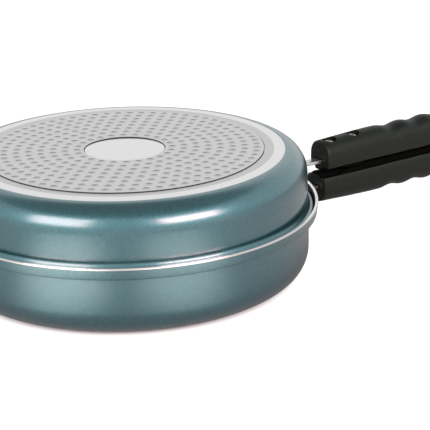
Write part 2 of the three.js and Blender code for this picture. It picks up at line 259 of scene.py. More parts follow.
BMElement = bmesh.types.BMVert | bmesh.types.BMEdge | bmesh.types.BMFace


class Element(Enum):
    """What is picked in edit mode. Each value holds its name as a select mode and in a bmesh."""

    POINT = ("VERT", "verts")
    EDGE = ("EDGE", "edges")
    FACE = ("FACE", "faces")


def pick(piece: bpy.types.Object, kind: Element, wanted: Callable[[BMElement], bool]) -> None:
    """Selects the points, edges or faces of the piece in edit mode that pass a test.

    Args:
        piece: the piece in edit mode.
        kind: whether points, edges or faces are picked.
        wanted: the test of one of them.
    """
    mode, name = kind.value
    bpy.ops.mesh.select_all(action="DESELECT")
    bpy.ops.mesh.select_mode(type=mode)
    mesh = bmesh.from_edit_mesh(piece.data)
    for element in [element for element in getattr(mesh, name) if wanted(element)]:
        element.select_set(True)
    mesh.select_flush_mode()
    bmesh.update_edit_mesh(piece.data)


def beside(edge: bmesh.types.BMEdge) -> bool:
    """True for an edge that lies in a plane across Y, such as one round the side of a piece."""
    return abs(edge.verts[0].co.y - edge.verts[1].co.y) < MERGE_DISTANCE


def round_off(
    piece: bpy.types.Object, wanted: Callable[[bmesh.types.BMEdge], bool], radius: float, segments: int
) -> None:
    """Turns the faces of the piece in edit mode outwards, rounds some edges and leaves edit mode.

    Args:
        piece: the piece in edit mode.
        wanted: test that picks the edges.
        radius: how far the rounding reaches from each edge.
        segments: number of flats in it.
    """
    bpy.ops.mesh.select_all(action="SELECT")
    bpy.ops.mesh.normals_make_consistent(inside=False)
    pick(piece, Element.EDGE, wanted)
    bpy.ops.mesh.bevel(offset=radius, segments=segments, affect="EDGES")
    bpy.ops.object.mode_set(mode="OBJECT")


def activate(piece: bpy.types.Object) -> None:
    """Makes a piece the only one selected, and the active one."""
    bpy.ops.object.select_all(action="DESELECT")
    piece.select_set(True)
    bpy.context.view_layer.objects.active = piece


class Operation(Enum):
    """What a tool does to a piece, as the Boolean modifier names it."""

    CUT = "DIFFERENCE"
    JOIN = "UNION"


def combine(piece: bpy.types.Object, tool: bpy.types.Object, operation: Operation) -> None:
    """Cuts a piece by a tool or joins the two, and deletes the tool.

    Args:
        piece: what is kept.
        tool: a closed piece that is used up.
        operation: whether the tool cuts or joins.
    """
    activate(piece)
    modifier = piece.modifiers.new("combine", "BOOLEAN")
    modifier.operation = operation.value
    modifier.solver = "MANIFOLD"
    modifier.object = tool
    bpy.ops.object.modifier_apply(modifier=modifier.name)
    used_up = tool.data
    bpy.data.objects.remove(tool)
    bpy.data.meshes.remove(used_up)


def drill(radius: float, start: Vector, end: Vector, steps: int = SMALL_STEPS) -> bpy.types.Object:
    """Makes a round cutting tool between two points, with flat ends.

    Args:
        radius: its radius.
        start: middle of one end.
        end: middle of the other end.
        steps: number of facets.

    Returns:
        The tool, out of edit mode.
    """
    along = end - start
    side = along.orthogonal().normalized() * radius
    return spun([start, start + side, end + side, end], start, along.normalized(), steps)


# Materials


def linear(colour: str) -> tuple[float, float, float, float]:
    """Turns an sRGB colour into a linear one.

    Args:
        colour: six hex digits.

    Returns:
        Linear red, green, blue and alpha.
    """
    channels = [int(colour[place : place + 2], 16) / 255 for place in (0, 2, 4)]
    turned = [c / 12.92 if c <= 0.04045 else ((c + 0.055) / 1.055) ** 2.4 for c in channels]
    return (*turned, 1.0)


def add_node(
    tree: bpy.types.NodeTree,
    kind: str,
    settings: dict[str | int, object] | None = None,
    links: dict[str | int, bpy.types.NodeSocket] | None = None,
) -> bpy.types.Node:
    """Adds a shader node with its settings and links.

    Args:
        tree: the material's nodes.
        kind: type of the node.
        settings: its own properties and the values of its inputs, by name or by place.
        links: output sockets that feed its inputs, by the input's name or place.

    Returns:
        The new node.
    """
    node = tree.nodes.new(kind)
    for name, value in (settings or {}).items():
        if isinstance(name, str) and hasattr(node, name):
            setattr(node, name, value)
        else:
            node.inputs[name].default_value = value
    for name, source in (links or {}).items():
        tree.links.new(source, node.inputs[name])
    return node


@dataclass(frozen=True)
class Surface:
    """The nodes of a material while its marks are added.

    Args:
        tree: the material's nodes.
        shader: its principled shader.
        place: socket that gives the place on the piece, in metres.
    """

    tree: bpy.types.NodeTree
    shader: bpy.types.Node
    place: bpy.types.NodeSocket

    def feed(self, name: str, source: bpy.types.NodeSocket) -> None:
        """Links a socket to one of the shader's inputs."""
        self.tree.links.new(source, self.shader.inputs[name])

    def lumps(
        self, size: float, detail: float = 2.0, place: bpy.types.NodeSocket | None = None
    ) -> bpy.types.NodeSocket:
        """Adds a soft random pattern.

        Args:
            size: how far apart its lumps are, in metres.
            detail: how many finer layers it has.
            place: socket that it is laid out by, where that isn't the plain place.

        Returns:
            Its socket, from 0 to 1.
        """
        settings = {"Scale": 1 / size, "Detail": detail}
        links = {"Vector": self.place if place is None else place}
        return add_node(self.tree, "ShaderNodeTexNoise", settings, links).outputs[0]

    def rings(self, pitch: float) -> bpy.types.NodeSocket:
        """Adds rings about the pans' axis, as a turning tool leaves them.

        Args:
            pitch: how far apart the rings are, in metres.

        Returns:
            Their socket, from 0 to 1.
        """
        flatten = {"operation": "MULTIPLY", 1: (1, 1, 0)}
        flat = add_node(self.tree, "ShaderNodeVectorMath", flatten, {0: self.place}).outputs["Vector"]
        radius = add_node(self.tree, "ShaderNodeVectorMath", {"operation": "LENGTH"}, {0: flat})
        settings = {"noise_dimensions": "1D", "Scale": 1 / pitch, "Detail": 3.0}
        links = {"W": radius.outputs["Value"]}
        return add_node(self.tree, "ShaderNodeTexNoise", settings, links).outputs[0]

    def relief(self, height: bpy.types.NodeSocket, depth: float) -> None:
        """Adds a bump.

        Args:
            height: socket from 0 to 1 that gives the height.
            depth: height that 1 stands for, in metres.
        """
        settings = {"Strength": 1.0, "Distance": depth}
        bump = add_node(self.tree, "ShaderNodeBump", settings, {"Height": height})
        self.feed("Normal", bump.outputs["Normal"])


@dataclass(frozen=True)
class Finish:
    """What every finish has. A subclass adds the marks of how its surface was made.

    Args:
        name: common name of the material and how it was made.
        colour: its colour as six sRGB hex digits.
        roughness: 0 is a mirror and 1 is chalk.
        metallic: 1 for bare metal and 0 for all else.
    """

    name: str
    colour: str
    roughness: float
    metallic: float = 0.0

    def build(self) -> bpy.types.Material:
        """Makes the material.

        Returns:
            The material, with its marks.
        """
        material = bpy.data.materials.new(self.name)
        material.use_nodes = True
        material.diffuse_color = linear(self.colour)
        tree = material.node_tree
        shader = tree.nodes["Principled BSDF"]
        shader.inputs["Base Color"].default_value = linear(self.colour)
        shader.inputs["Roughness"].default_value = self.roughness
        shader.inputs["Metallic"].default_value = self.metallic
        self.mark(Surface(tree, shader, add_node(tree, "ShaderNodeTexCoord").outputs["Object"]))
        return material

    def mark(self, surface: Surface) -> None:
        """Adds to a surface what its making left on it."""
        raise NotImplementedError

    def tint(
        self, surface: Surface, pattern: bpy.types.NodeSocket, shares: tuple[float, float]
    ) -> None:
        """Lets the colour wander between a darker and a lighter shade.

        Args:
            surface: the material's nodes.
            pattern: socket from 0 to 1 that picks the shade.
            shares: shares of the colour at 0 and at 1.
        """
        red, green, blue, alpha = linear(self.colour)
        dark, light = ((red * share, green * share, blue * share, alpha) for share in shares)
        settings = {"data_type": "RGBA", 6: dark, 7: light}
        mixed = add_node(surface.tree, "ShaderNodeMix", settings, {0: pattern})
        surface.feed("Base Color", mixed.outputs[2])

    def polish(self, surface: Surface, pattern: bpy.types.NodeSocket, spread: float) -> None:
        """Lets the roughness wander about its value.

        Args:
            surface: the material's nodes.
            pattern: socket from 0 to 1.
            spread: how far the roughness goes either way.
        """
        settings = {"To Min": self.roughness - spread, "To Max": self.roughness + spread}
        ranged = add_node(surface.tree, "ShaderNodeMapRange", settings, {"Value": pattern})
        surface.feed("Roughness", ranged.outputs[0])


@dataclass(frozen=True)
class SprayedEnamel(Finish):
    """Metallic enamel, sprayed and baked on pressed aluminium: teal with fine bright flakes under a
    clear layer, so its colour is deep where it faces the dark and bright where it meets a lamp."""

    name: str = "metallic_enamel_sprayed"
    colour: str = "2A737D"
    roughness: float = 0.36
    metallic: float = 0.9
    clear_layer: float = 1.0
    clear_layer_ior: float = 2.0
    clear_layer_roughness: float = 0.2
    # Real flakes are some 0.05 mm across; they are drawn this coarse to show at all.
    flake_size: float = 0.8 * MM
    flake_shares: tuple[float, float] = (0.86, 1.16)
    peel_size: float = 5 * MM
    peel_depth: float = 0.004 * MM
    cloud_size: float = 60 * MM
    cloud_spread: float = 0.03

    def mark(self, surface: Surface) -> None:
        """Adds the clear layer, the flakes, a trace of orange peel and a slight cloudiness.

        Args:
            surface: the material's nodes.
        """
        surface.shader.inputs["Coat Weight"].default_value = self.clear_layer
        surface.shader.inputs["Coat IOR"].default_value = self.clear_layer_ior
        surface.shader.inputs["Coat Roughness"].default_value = self.clear_layer_roughness
        settings = {"Scale": 1 / self.flake_size}
        flakes = add_node(surface.tree, "ShaderNodeTexVoronoi", settings, {"Vector": surface.place})
        shades = add_node(surface.tree, "ShaderNodeSeparateColor", {}, {"Color": flakes.outputs["Color"]})
        self.tint(surface, shades.outputs["Red"], self.flake_shares)
        self.polish(surface, surface.lumps(self.cloud_size), self.cloud_spread)
        surface.relief(surface.lumps(self.peel_size), self.peel_depth)


@dataclass(frozen=True)
class TurnedAluminium(Finish):
    """Bare aluminium, turned clean on a lathe after the enamel was baked: bright and a little milky,
    with fine rings round the pan's axis."""

    name: str = "aluminium_turned"
    colour: str = "F8F8F8"
    roughness: float = 0.12
    metallic: float = 1.0
    # A finishing cut leaves marks about 0.2 mm apart; these are wide enough to show.
    mark_pitch: float = 0.5 * MM
    mark_depth: float = 0.0007 * MM
    mark_shares: tuple[float, float] = (0.96, 1.0)
    roughness_spread: float = 0.05

    def mark(self, surface: Surface) -> None:
        """Adds the rings that the turning tool left.

        Args:
            surface: the material's nodes.
        """
        rings = surface.rings(self.mark_pitch)
        self.tint(surface, rings, self.mark_shares)
        self.polish(surface, rings, self.roughness_spread)
        surface.relief(rings, self.mark_depth)


@dataclass(frozen=True)
class NonStickCoating(Finish):
    """Fluoropolymer coating sprayed inside the pans: charcoal with pale specks, softly glossy."""

    name: str = "fluoropolymer_coating_sprayed"
    colour: str = "303234"
    roughness: float = 0.42
    speck_size: float = 1.6 * MM
    speck_detail: float = 4.0
    speck_shares: tuple[float, float] = (0.85, 3.2)
    speck_start: float = 0.66
    speck_blend: float = 0.05
    grain_size: float = 0.5 * MM
    grain_depth: float = 0.006 * MM

    def mark(self, surface: Surface) -> None:
        """Adds the pale specks and the grain of the sprayed film.

        Args:
            surface: the material's nodes.
        """
        field = surface.lumps(self.speck_size, self.speck_detail)
        edge = {"From Min": self.speck_start, "From Max": self.speck_start + self.speck_blend}
        specks = add_node(surface.tree, "ShaderNodeMapRange", edge, {"Value": field})
        self.tint(surface, specks.outputs[0], self.speck_shares)
        surface.relief(surface.lumps(self.grain_size), self.grain_depth)


@dataclass(frozen=True)
class DiscSteel(Finish):
    """Ferritic stainless steel sheet, rolled and pressed into the base: satin grey, with a faint
    grain from the rolls and light turning marks where the base was faced off."""

    name: str = "ferritic_steel_pressed"
    colour: str = "E6E6E5"
    roughness: float = 0.3
    metallic: float = 1.0
    grain_size: float = 2.2 * MM
    grain_shares: tuple[float, float] = (0.93, 1.03)
    mark_pitch: float = 0.6 * MM
    mark_depth: float = 0.001 * MM
    roughness_spread: float = 0.05

    def mark(self, surface: Surface) -> None:
        """Adds the grain and the marks of facing off.

        Args:
            surface: the material's nodes.
        """
        self.tint(surface, surface.lumps(self.grain_size), self.grain_shares)
        rings = surface.rings(self.mark_pitch)
        self.polish(surface, rings, self.roughness_spread)
        surface.relief(rings, self.mark_depth)


@dataclass(frozen=True)
class StampedSteel(Finish):
    """Stainless steel strip, stamped, bent and tumbled: satin, with short faint scratches."""

    name: str = "stainless_steel_tumbled"
    colour: str = "ECF4F3"
    roughness: float = 0.3
    metallic: float = 1.0
    scratch_size: float = 0.9 * MM
    scratch_detail: float = 3.0
    scratch_stretch: float = 9.0
    scratch_depth: float = 0.002 * MM
    scratch_shares: tuple[float, float] = (0.9, 1.04)
    roughness_spread: float = 0.08

    def mark(self, surface: Surface) -> None:
        """Adds scratches drawn out along the tang.

        Args:
            surface: the material's nodes.
        """
        settings = {"Scale": (1 / self.scratch_stretch, 1.0, 1.0)}
        drawn_out = add_node(surface.tree, "ShaderNodeMapping", settings, {"Vector": surface.place})
        scratches = surface.lumps(self.scratch_size, self.scratch_detail, drawn_out.outputs["Vector"])
        self.tint(surface, scratches, self.scratch_shares)
        self.polish(surface, scratches, self.roughness_spread)
        surface.relief(scratches, self.scratch_depth)


@dataclass(frozen=True)
class HeadedMetal(Finish):
    """Cold-headed fastener, such as an aluminium rivet or a zinc-plated screw: bright, with the faint
    dimples of the heading tool."""

    name: str = "aluminium_cold_headed"
    colour: str = "DADADB"
    roughness: float = 0.28
    metallic: float = 1.0
    dimple_size: float = 0.7 * MM
    dimple_depth: float = 0.006 * MM
    dimple_shares: tuple[float, float] = (0.9, 1.05)

    def mark(self, surface: Surface) -> None:
        """Adds the dimples.

        Args:
            surface: the material's nodes.
        """
        dimples = surface.lumps(self.dimple_size)
        self.tint(surface, dimples, self.dimple_shares)
        surface.relief(dimples, self.dimple_depth)


@dataclass(frozen=True)
class MouldedPhenolic(Finish):
    """Phenolic resin, pressed in a mould: black with a satin skin, faintly mottled by its filler."""

    name: str = "phenolic_resin_moulded"
    colour: str = "0F100E"
    roughness: float = 0.46
    sheen_level: float = 0.5
    sheen_tint: str = "E2FFF2"
    mottle_size: float = 3.5 * MM
    mottle_detail: float = 4.0
    mottle_shares: tuple[float, float] = (0.5, 1.6)
    skin_size: float = 1.4 * MM
    skin_depth: float = 0.05 * MM
    roughness_spread: float = 0.12

    def mark(self, surface: Surface) -> None:
        """Sets the sheen, and adds the mottle of the filler and the texture of the moulded skin.

        Args:
            surface: the material's nodes.
        """
        surface.shader.inputs["Specular IOR Level"].default_value = self.sheen_level
        surface.shader.inputs["Specular Tint"].default_value = linear(self.sheen_tint)
        mottle = surface.lumps(self.mottle_size, self.mottle_detail)
        self.tint(surface, mottle, self.mottle_shares)
        self.polish(surface, mottle, self.roughness_spread)
        surface.relief(surface.lumps(self.skin_size), self.skin_depth)


@dataclass(frozen=True)
class Finishes:
    """The materials of the whole pan, each built once."""

    enamel: bpy.types.Material
    bare: bpy.types.Material
    pressed: bpy.types.Material
    coating: bpy.types.Material
    disc: bpy.types.Material
    # The disc's sheared edges, painted dark as shade.
    sheared: bpy.types.Material
    bracket: bpy.types.Material
    rivet: bpy.types.Material
    phenolic: bpy.types.Material
    # Matt phenolic for the handles' inner sides, its colour painted darker as shade.
    matt: bpy.types.Material
    screw: bpy.types.Material

    @classmethod
    def mixed(cls) -> "Finishes":
        """Builds all the materials.

        Returns:
            The materials by name.
        """
        return cls(
            enamel=SprayedEnamel().build(),
            bare=TurnedAluminium().build(),
            pressed=TurnedAluminium(name="aluminium_pressed", colour="DCDCDE", roughness=0.3).build(),
            coating=NonStickCoating().build(),
            disc=DiscSteel().build(),
            # The disc's sheared edges are rough as a real sheared edge is, and their colour is painted dark
            # as the shade in the crevice round the disc.
            sheared=DiscSteel(name="ferritic_steel_sheared", colour="6E6E70", roughness=0.6).build(),
            bracket=StampedSteel().build(),
            rivet=HeadedMetal().build(),
            phenolic=MouldedPhenolic().build(),
            # Matt skin of the handles' inner sides: its roughness is real, and its colour is painted darker
            # as the shade that falls between the two handles.
            matt=MouldedPhenolic(
                name="phenolic_resin_matt", colour="060606", roughness=0.8, sheen_level=0.08
            ).build(),
            screw=HeadedMetal(name="zinc_plate_on_steel", colour="D6D6D2", roughness=0.24).build(),
        )


# What the halves share


class Side(Enum):
    """Which half of the pair a piece belongs to. The value starts the names of its nodes."""

    LOWER = "lower"
    UPPER = "upper"


class Slot(Enum):
    """The record's material slots."""

    ENAMEL = "pan_enamel"
    DISC = "steel_disc"
    BRACKET = "bracket_steel"
    RIVET = "rivet_aluminium"
    PHENOLIC = "phenolic"
    SCREW = "screw_steel"


@cache
def node_box(node: str) -> tuple[Vector, Vector]:
    """Lowest and highest corner of a CAD node, measured once."""
    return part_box(node)


TOTAL_HEIGHT = node_box("upper_pan")[1].z
MATING_LEVEL = (node_box("lower_handle")[1].z + node_box("upper_handle")[0].z) / 2
WALL_RADIUS = 114.2 * MM
DISC_HOLE = 25.2 * MM
RIVET_BORE = 2.65 * MM
SCREW_BORE = 1.95 * MM
SEAT_GAP = 0.3 * MM


@dataclass(frozen=True)
class Half:
    """One half in its own frame, with its base down at z = 0, and what makes it differ from the other.

    Args:
        side: which half it is.
        wall_inset: how much slimmer than the lower half's its wall is.
        wall_height: height of the straight part of the wall.
        step_out: how far the wall steps outwards under its collar.
        step_sink: how much nearer to the rim the step lies, and how much lower the rim then is.
        rim_rise: how far the rim stands above the collar's height.
        flare: how far the collar leans outwards up to its rim.
        tang_from_mating: from the plane between the handles to the middle of the tang.
    """

    side: Side
    wall_inset: float
    wall_height: float
    step_out: float
    step_sink: float
    rim_rise: float
    flare: float
    tang_from_mating: float

    def node(self, piece: str) -> str:
        """Name of the CAD node of one of its pieces."""
        return f"{self.side.value}_{piece}"

    def body(self) -> str:
        """Name of the body that its pieces ride on."""
        return f"{self.side.value}_half"

    def wall_radius(self) -> float:
        """Outer radius of the straight part of its wall."""
        return WALL_RADIUS - self.wall_inset

    def mating_level(self) -> float:
        """Height of the plane between the handles, in the half's own frame."""
        return MATING_LEVEL if self.side is Side.LOWER else TOTAL_HEIGHT - MATING_LEVEL

    def tang_level(self) -> float:
        """Height of the middle of the tang, in the half's own frame."""
        return self.mating_level() - self.tang_from_mating

    def box(self, piece: str) -> tuple[Vector, Vector]:
        """Finds the box of one of its nodes, in the half's own frame.

        Args:
            piece: the node, without the half's name.

        Returns:
            Its lowest and highest corner.
        """
        low, high = node_box(self.node(piece))
        if self.side is Side.LOWER:
            return low, high
        return (
            Vector((low.x, -high.y, TOTAL_HEIGHT - high.z)),
            Vector((high.x, -low.y, TOTAL_HEIGHT - low.z)),
        )

    def middle(self, piece: str) -> Vector:
        """Middle of the box of one of its nodes, in the half's own frame."""
        low, high = self.box(piece)
        return (low + high) / 2

    def rivet_line(self, name: str) -> tuple[Vector, Vector]:
        """Finds the line that a rivet lies on, in the half's own frame.

        Args:
            name: the rivet's node, without the half's name.

        Returns:
            The point where the line leaves the pan's axis, and its direction outwards.
        """
        middle = self.middle(name)
        return Vector((0, 0, middle.z)), Vector((middle.x, middle.y, 0)).normalized()

    def drill_for_rivets(self, piece: bpy.types.Object, near: float, far: float) -> None:
        """Drills a piece along the lines of both rivets.

        Args:
            piece: the piece that is drilled.
            near: distance from the pan's axis at which the holes start.
            far: distance at which they end.
        """
        for name in RIVETS:
            foot, outwards = self.rivet_line(name)
            hole = drill(RIVET_BORE, foot + outwards * near, foot + outwards * far)
            combine(piece, hole, Operation.CUT)

    def settle(
        self,
        piece: bpy.types.Object,
        name: str,
        slot: Slot,
        materials: Sequence[bpy.types.Material],
        paint: Callable[[Vector, Vector], int] | None = None,
    ) -> None:
        """Finishes a piece: paints it, turns it over on the upper half, smooths it and ties it to its body.

        Args:
            piece: the piece, in the half's own frame and out of edit mode.
            name: name of the CAD node that it stands for, without the half's name.
            slot: the record's slot of the piece; not used.
            materials: its materials in order.
            paint: picks a material's number from a face's middle and normal.
        """
        activate(piece)
        piece.name = f"{name}_{self.side.value}"
        piece.data.name = piece.name
        piece.data.materials.clear()
        for material in materials:
            piece.data.materials.append(material)
        for face in piece.data.polygons:
            face.material_index = 0 if paint is None else paint(face.center, face.normal)
        if self.side is Side.UPPER:
            bpy.ops.object.mode_set(mode="EDIT")
            bpy.ops.mesh.select_all(action="SELECT")
            middle = (0, 0, TOTAL_HEIGHT / 2)
            bpy.ops.transform.rotate(value=math.pi, orient_axis="X", center_override=middle)
            bpy.ops.object.mode_set(mode="OBJECT")
        bpy.ops.object.shade_smooth_by_angle(angle=SMOOTH_ANGLE)
        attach(piece, self.body())
        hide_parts(self.node(name))
        LOG.info("%s: %d faces", piece.name, len(piece.data.polygons))


HALVES = (
    Half(
        side=Side.LOWER,
        wall_inset=0.0,
        wall_height=20.4 * MM,
        step_out=5 * MM,
        step_sink=0.0,
        rim_rise=0.6 * MM,
        flare=0.8 * MM,
        tang_from_mating=10.4 * MM,
    ),
    Half(
        side=Side.UPPER,
        wall_inset=0.9 * MM,
        wall_height=13.9 * MM,
        step_out=3.4 * MM,
        step_sink=4 * MM,
        rim_rise=0.0,
        flare=0.4 * MM,
        tang_from_mating=7.5 * MM,
    ),
)


# Pieces


class PanFace(IntEnum):
    """Finishes of the pan, by their place in its list of materials."""

    ENAMEL = 0
    TURNED = 1
    COATING = 2
    PRESSED = 3


@dataclass
class PressedPan:
    """The pressed and turned aluminium pan of one half, with its rivet holes."""

    half: Half
    wall: float = 2.4 * MM
    floor: float = 4.5 * MM
    shoulder_width: float = 14.8 * MM
    shoulder_height: float = 17 * MM
    shoulder_power: float = 2.16
    shoulder_steps: int = 28
    wall_steps: int = 6
    inner_inset: float = 1.5 * MM
    inner_steps: int = 14
    step_rise_share: float = 0.52
    step_bend_share: float = 0.25
    step_inner_round: float = 1.5 * MM
    sweep_out: float = 1.6 * MM
    sweep_rise: float = 2.4 * MM
    sweep_round: float = 7.5 * MM
    step_outer_round: float = 0.8 * MM
    collar_height: float = 5.5 * MM
    rim_edge: float = 1.8 * MM
    rim_round: float = 0.4 * MM
    bare_rim: float = 1.2 * MM
    ledge_rise: float = 0.6 * MM
    ledge_depth: float = 1.8 * MM
    small_round: float = 0.5 * MM
    boss_gap: float = 0.4 * MM
    boss_sink: float = 0.4 * MM
    edge_round: float = 0.08 * MM
    ring_width: float = 13 * MM
    bright_width: float = 6.8 * MM
    bright_fall: float = 0.3 * MM
    disc_proud: float = 0.4 * MM
    disc_depth: float = 1.2 * MM
    inwards_turn: float = 0.13
    upwards_turn: float = 0.52

    def base_radius(self) -> float:
        """Radius of the flat base, out to where the enamel starts."""
        return WALL_RADIUS - self.shoulder_width

    def foot(self) -> float:
        """Height at which the wall ends and the step begins."""
        return self.shoulder_height + self.half.wall_height + self.half.step_sink

    def collar_foot(self) -> float:
        """Height at which the collar stands up again."""
        return self.foot() + self.half.step_out * self.step_rise_share

    def rim_level(self) -> float:
        """Height of the rim."""
        return self.collar_foot() + self.collar_height + self.half.rim_rise - self.half.step_sink

    def bend_out(self, wall: float, end: float) -> list[Corner]:
        """Corners where the wall turns out to the step: sharp on the lower pan, swept on the upper.

        Args:
            wall: radius of the wall.
            end: height at which the step begins.

        Returns:
            The corners, from the base towards the rim.
        """
        if self.half.side is Side.LOWER:
            return [Corner(wall, end, self.step_inner_round)]
        return [
            Corner(wall, end - self.sweep_rise, self.sweep_round),
            Corner(wall + self.sweep_out, end, self.small_round),
        ]

    def outline(self) -> list[Vector]:
        """Draws the pan's outline.

        Returns:
            Its points, from the middle of the base round the rim to the middle of the floor.
        """
        wall = self.half.wall_radius()
        collar = wall + self.half.step_out
        rim = collar + self.half.flare
        bend = self.half.step_out * self.step_bend_share
        ledge = self.collar_foot() + self.ledge_rise
        inside = wall - self.wall
        pocket = self.base_radius() - self.ring_width + self.boss_gap
        boss = DISC_HOLE - self.boss_gap
        shoulder = quarter(
            Vector((self.base_radius(), self.disc_proud + self.bright_fall)),
            Vector((wall, self.shoulder_height)),
            self.shoulder_power,
            self.shoulder_steps,
        )
        inner_corner = quarter(
            Vector((self.base_radius() - self.inner_inset, self.floor)),
            Vector((inside, self.shoulder_height)),
            self.shoulder_power,
            self.inner_steps,
        )
        up_the_wall = [
            Corner(wall, self.shoulder_height + self.half.wall_height * step / self.wall_steps)
            for step in range(1, self.wall_steps)
        ]
        return rounded(
            [
                Corner(0, self.boss_sink),
                Corner(boss, self.boss_sink, self.edge_round),
                Corner(boss, self.disc_depth),
                Corner(pocket, self.disc_depth),
                Corner(pocket, self.disc_proud, self.edge_round),
                Corner(self.base_radius() - self.bright_width, self.disc_proud),
                *shoulder,
                *up_the_wall,
                *self.bend_out(wall, self.foot() + bend),
                Corner(collar, self.collar_foot() - bend, self.step_outer_round),
                Corner(rim, self.rim_level() - self.bare_rim),
                Corner(rim, self.rim_level(), self.rim_round),
                Corner(rim - self.rim_edge, self.rim_level(), self.rim_round),
                Corner(collar - self.rim_edge, ledge, self.small_round),
                Corner(inside + self.wall / 2, ledge, self.small_round),
                Corner(inside, ledge - self.ledge_depth, self.small_round),
                *reversed(inner_corner),
                Corner(0, self.floor),
            ]
        )

    def build(self) -> bpy.types.Object:
        """Spins the outline and drills the rivet holes.

        Returns:
            The pan.
        """
        piece = spun(upright(self.outline()), ORIGIN, UPWARDS, PAN_STEPS)
        outside = self.half.wall_radius()
        self.half.drill_for_rivets(piece, outside - 2 * self.wall, outside + self.wall)
        return piece

    def paint(self, middle: Vector, normal: Vector) -> PanFace:
        """Picks the finish of a face.

        Args:
            middle: the face's middle.
            normal: its outward direction.

        Returns:
            Its finish.
        """
        radius = math.hypot(middle.x, middle.y)
        if radius < self.base_radius() + self.edge_round and middle.z < self.disc_depth + self.edge_round:
            in_band = DISC_HOLE < radius < self.base_radius() - self.bright_width
            return PanFace.PRESSED if in_band else PanFace.TURNED
        if middle.z > self.rim_level() - self.bare_rim and self.half.side is Side.LOWER:
            return PanFace.TURNED
        outwards = (middle.x * normal.x + middle.y * normal.y) / radius
        inside = outwards < -self.inwards_turn or normal.z > self.upwards_turn
        return PanFace.COATING if inside else PanFace.ENAMEL

    def make(self, finishes: Finishes) -> None:
        """Builds and dresses the pan."""
        materials = [finishes.enamel, finishes.bare, finishes.coating, finishes.pressed]
        self.half.settle(self.build(), "pan", Slot.ENAMEL, materials, self.paint)


class DiscFace(IntEnum):
    """Finishes of the disc, by their place in its list of materials."""

    STEEL = 0
    BASE = 1
    # Sheared edge, painted dark as the shade in the crevice round the disc.
    SHEARED = 2


@dataclass
class InductionDisc:
    """Steel disc pressed into the base, with rings of round dimples that show the base through them."""

    half: Half
    edge_round: float = 0.1 * MM
    dot_radius: float = 2.6 * MM
    dot_edge: float = 0.06 * MM
    dot_inset_shares: tuple[float, ...] = (0.16, 0.2, 0.24)
    dot_rises: tuple[float, ...] = (0.2 * MM, 0.14 * MM, 0.06 * MM)
    dot_sides: int = 16
    facing_up: float = 0.5
    cutter_height: float = 1 * MM
    first_ring: float = 29.5 * MM
    ring_pitch: float = 7.5 * MM
    first_count: int = 24
    count_step: int = 6
    ring_count: int = 8
    turn_degrees: float = 15.3

    def outline(self) -> list[Vector]:
        """Draws the outline of the plain ring.

        Returns:
            Its points, round and back to the first.
        """
        high = self.half.box("induction_disc")[1]
        half_way = (DISC_HOLE + high.x) / 2
        return rounded(
            [
                Corner(half_way, 0),
                Corner(high.x, 0, self.edge_round),
                Corner(high.x, high.z),
                Corner(DISC_HOLE, high.z),
                Corner(DISC_HOLE, 0, self.edge_round),
                Corner(half_way, 0),
            ]
        )

    def dot(self) -> bpy.types.Object:
        """Makes the cutter of one dimple at the axis: a pin with a low rounded tip.

        Returns:
            The cutter, out of edit mode.
        """
        bpy.ops.object.select_all(action="DESELECT")
        middle = self.dot_edge - self.cutter_height / 2
        bpy.ops.mesh.primitive_cylinder_add(
            vertices=self.dot_sides,
            radius=self.dot_radius,
            depth=self.cutter_height,
            location=(0, 0, middle),
        )
        cutter = bpy.context.object
        bpy.ops.object.transform_apply(location=True, rotation=False, scale=False)
        bpy.ops.object.mode_set(mode="EDIT")
        pick(cutter, Element.FACE, lambda face: face.normal.z > self.facing_up)
        for share, rise in zip(self.dot_inset_shares, self.dot_rises):
            bpy.ops.mesh.inset(thickness=self.dot_radius * share, depth=0)
            bpy.ops.transform.translate(value=(0, 0, rise))
        bpy.ops.object.mode_set(mode="OBJECT")
        return cutter

    def dots(self) -> bpy.types.Object:
        """Copies the cutter round each ring and joins all the copies.

        Returns:
            One cutter for all the dimples.
        """
        first = self.dot()
        rings = []
        start = math.radians(self.turn_degrees)
        for number in range(self.ring_count):
            ring = first.copy()
            ring.data = first.data.copy()
            bpy.context.scene.collection.objects.link(ring)
            activate(ring)
            radius = self.first_ring + number * self.ring_pitch
            count = self.first_count + number * self.count_step
            bpy.ops.object.mode_set(mode="EDIT")
            bpy.ops.mesh.select_all(action="SELECT")
            bpy.ops.transform.translate(value=(radius * math.cos(start), radius * math.sin(start), 0))
            turn = 2 * math.pi * (count - 1) / count
            bpy.ops.mesh.spin(steps=count - 1, angle=turn, center=ORIGIN, axis=UPWARDS, dupli=True)
            bpy.ops.object.mode_set(mode="OBJECT")
            rings.append(ring)
        bpy.data.objects.remove(first)
        bpy.ops.object.select_all(action="DESELECT")
        for ring in rings:
            ring.select_set(True)
        bpy.context.view_layer.objects.active = rings[0]
        bpy.ops.object.join()
        return rings[0]

    def build(self) -> bpy.types.Object:
        """Spins the ring and presses the dimples into its outer face.

        Returns:
            The disc.
        """
        piece = spun(upright(self.outline()), ORIGIN, UPWARDS, PAN_STEPS)
        combine(piece, self.dots(), Operation.CUT)
        return piece

    def paint(self, middle: Vector, normal: Vector) -> DiscFace:
        """Picks the finish of a face. The hollow of a dimple shows the base, and the sheared edges are
        painted dark as the shade round the disc.

        Args:
            middle: the face's middle.
            normal: its outward direction.

        Returns:
            Its finish.
        """
        high = self.half.box("induction_disc")[1]
        radius = math.hypot(middle.x, middle.y)
        # The edge faces get the sheared finish, which is painted dark as shade.
        if not DISC_HOLE + self.edge_round < radius < high.x - self.edge_round:
            return DiscFace.SHEARED
        in_dimple = normal.z < 0 and self.dot_edge / 2 < middle.z < high.z / 2
        return DiscFace.BASE if in_dimple else DiscFace.STEEL

    def make(self, finishes: Finishes) -> None:
        """Builds and dresses the disc."""
        materials = [finishes.disc, finishes.pressed, finishes.sheared]
        self.half.settle(self.build(), "induction_disc", Slot.DISC, materials, self.paint)


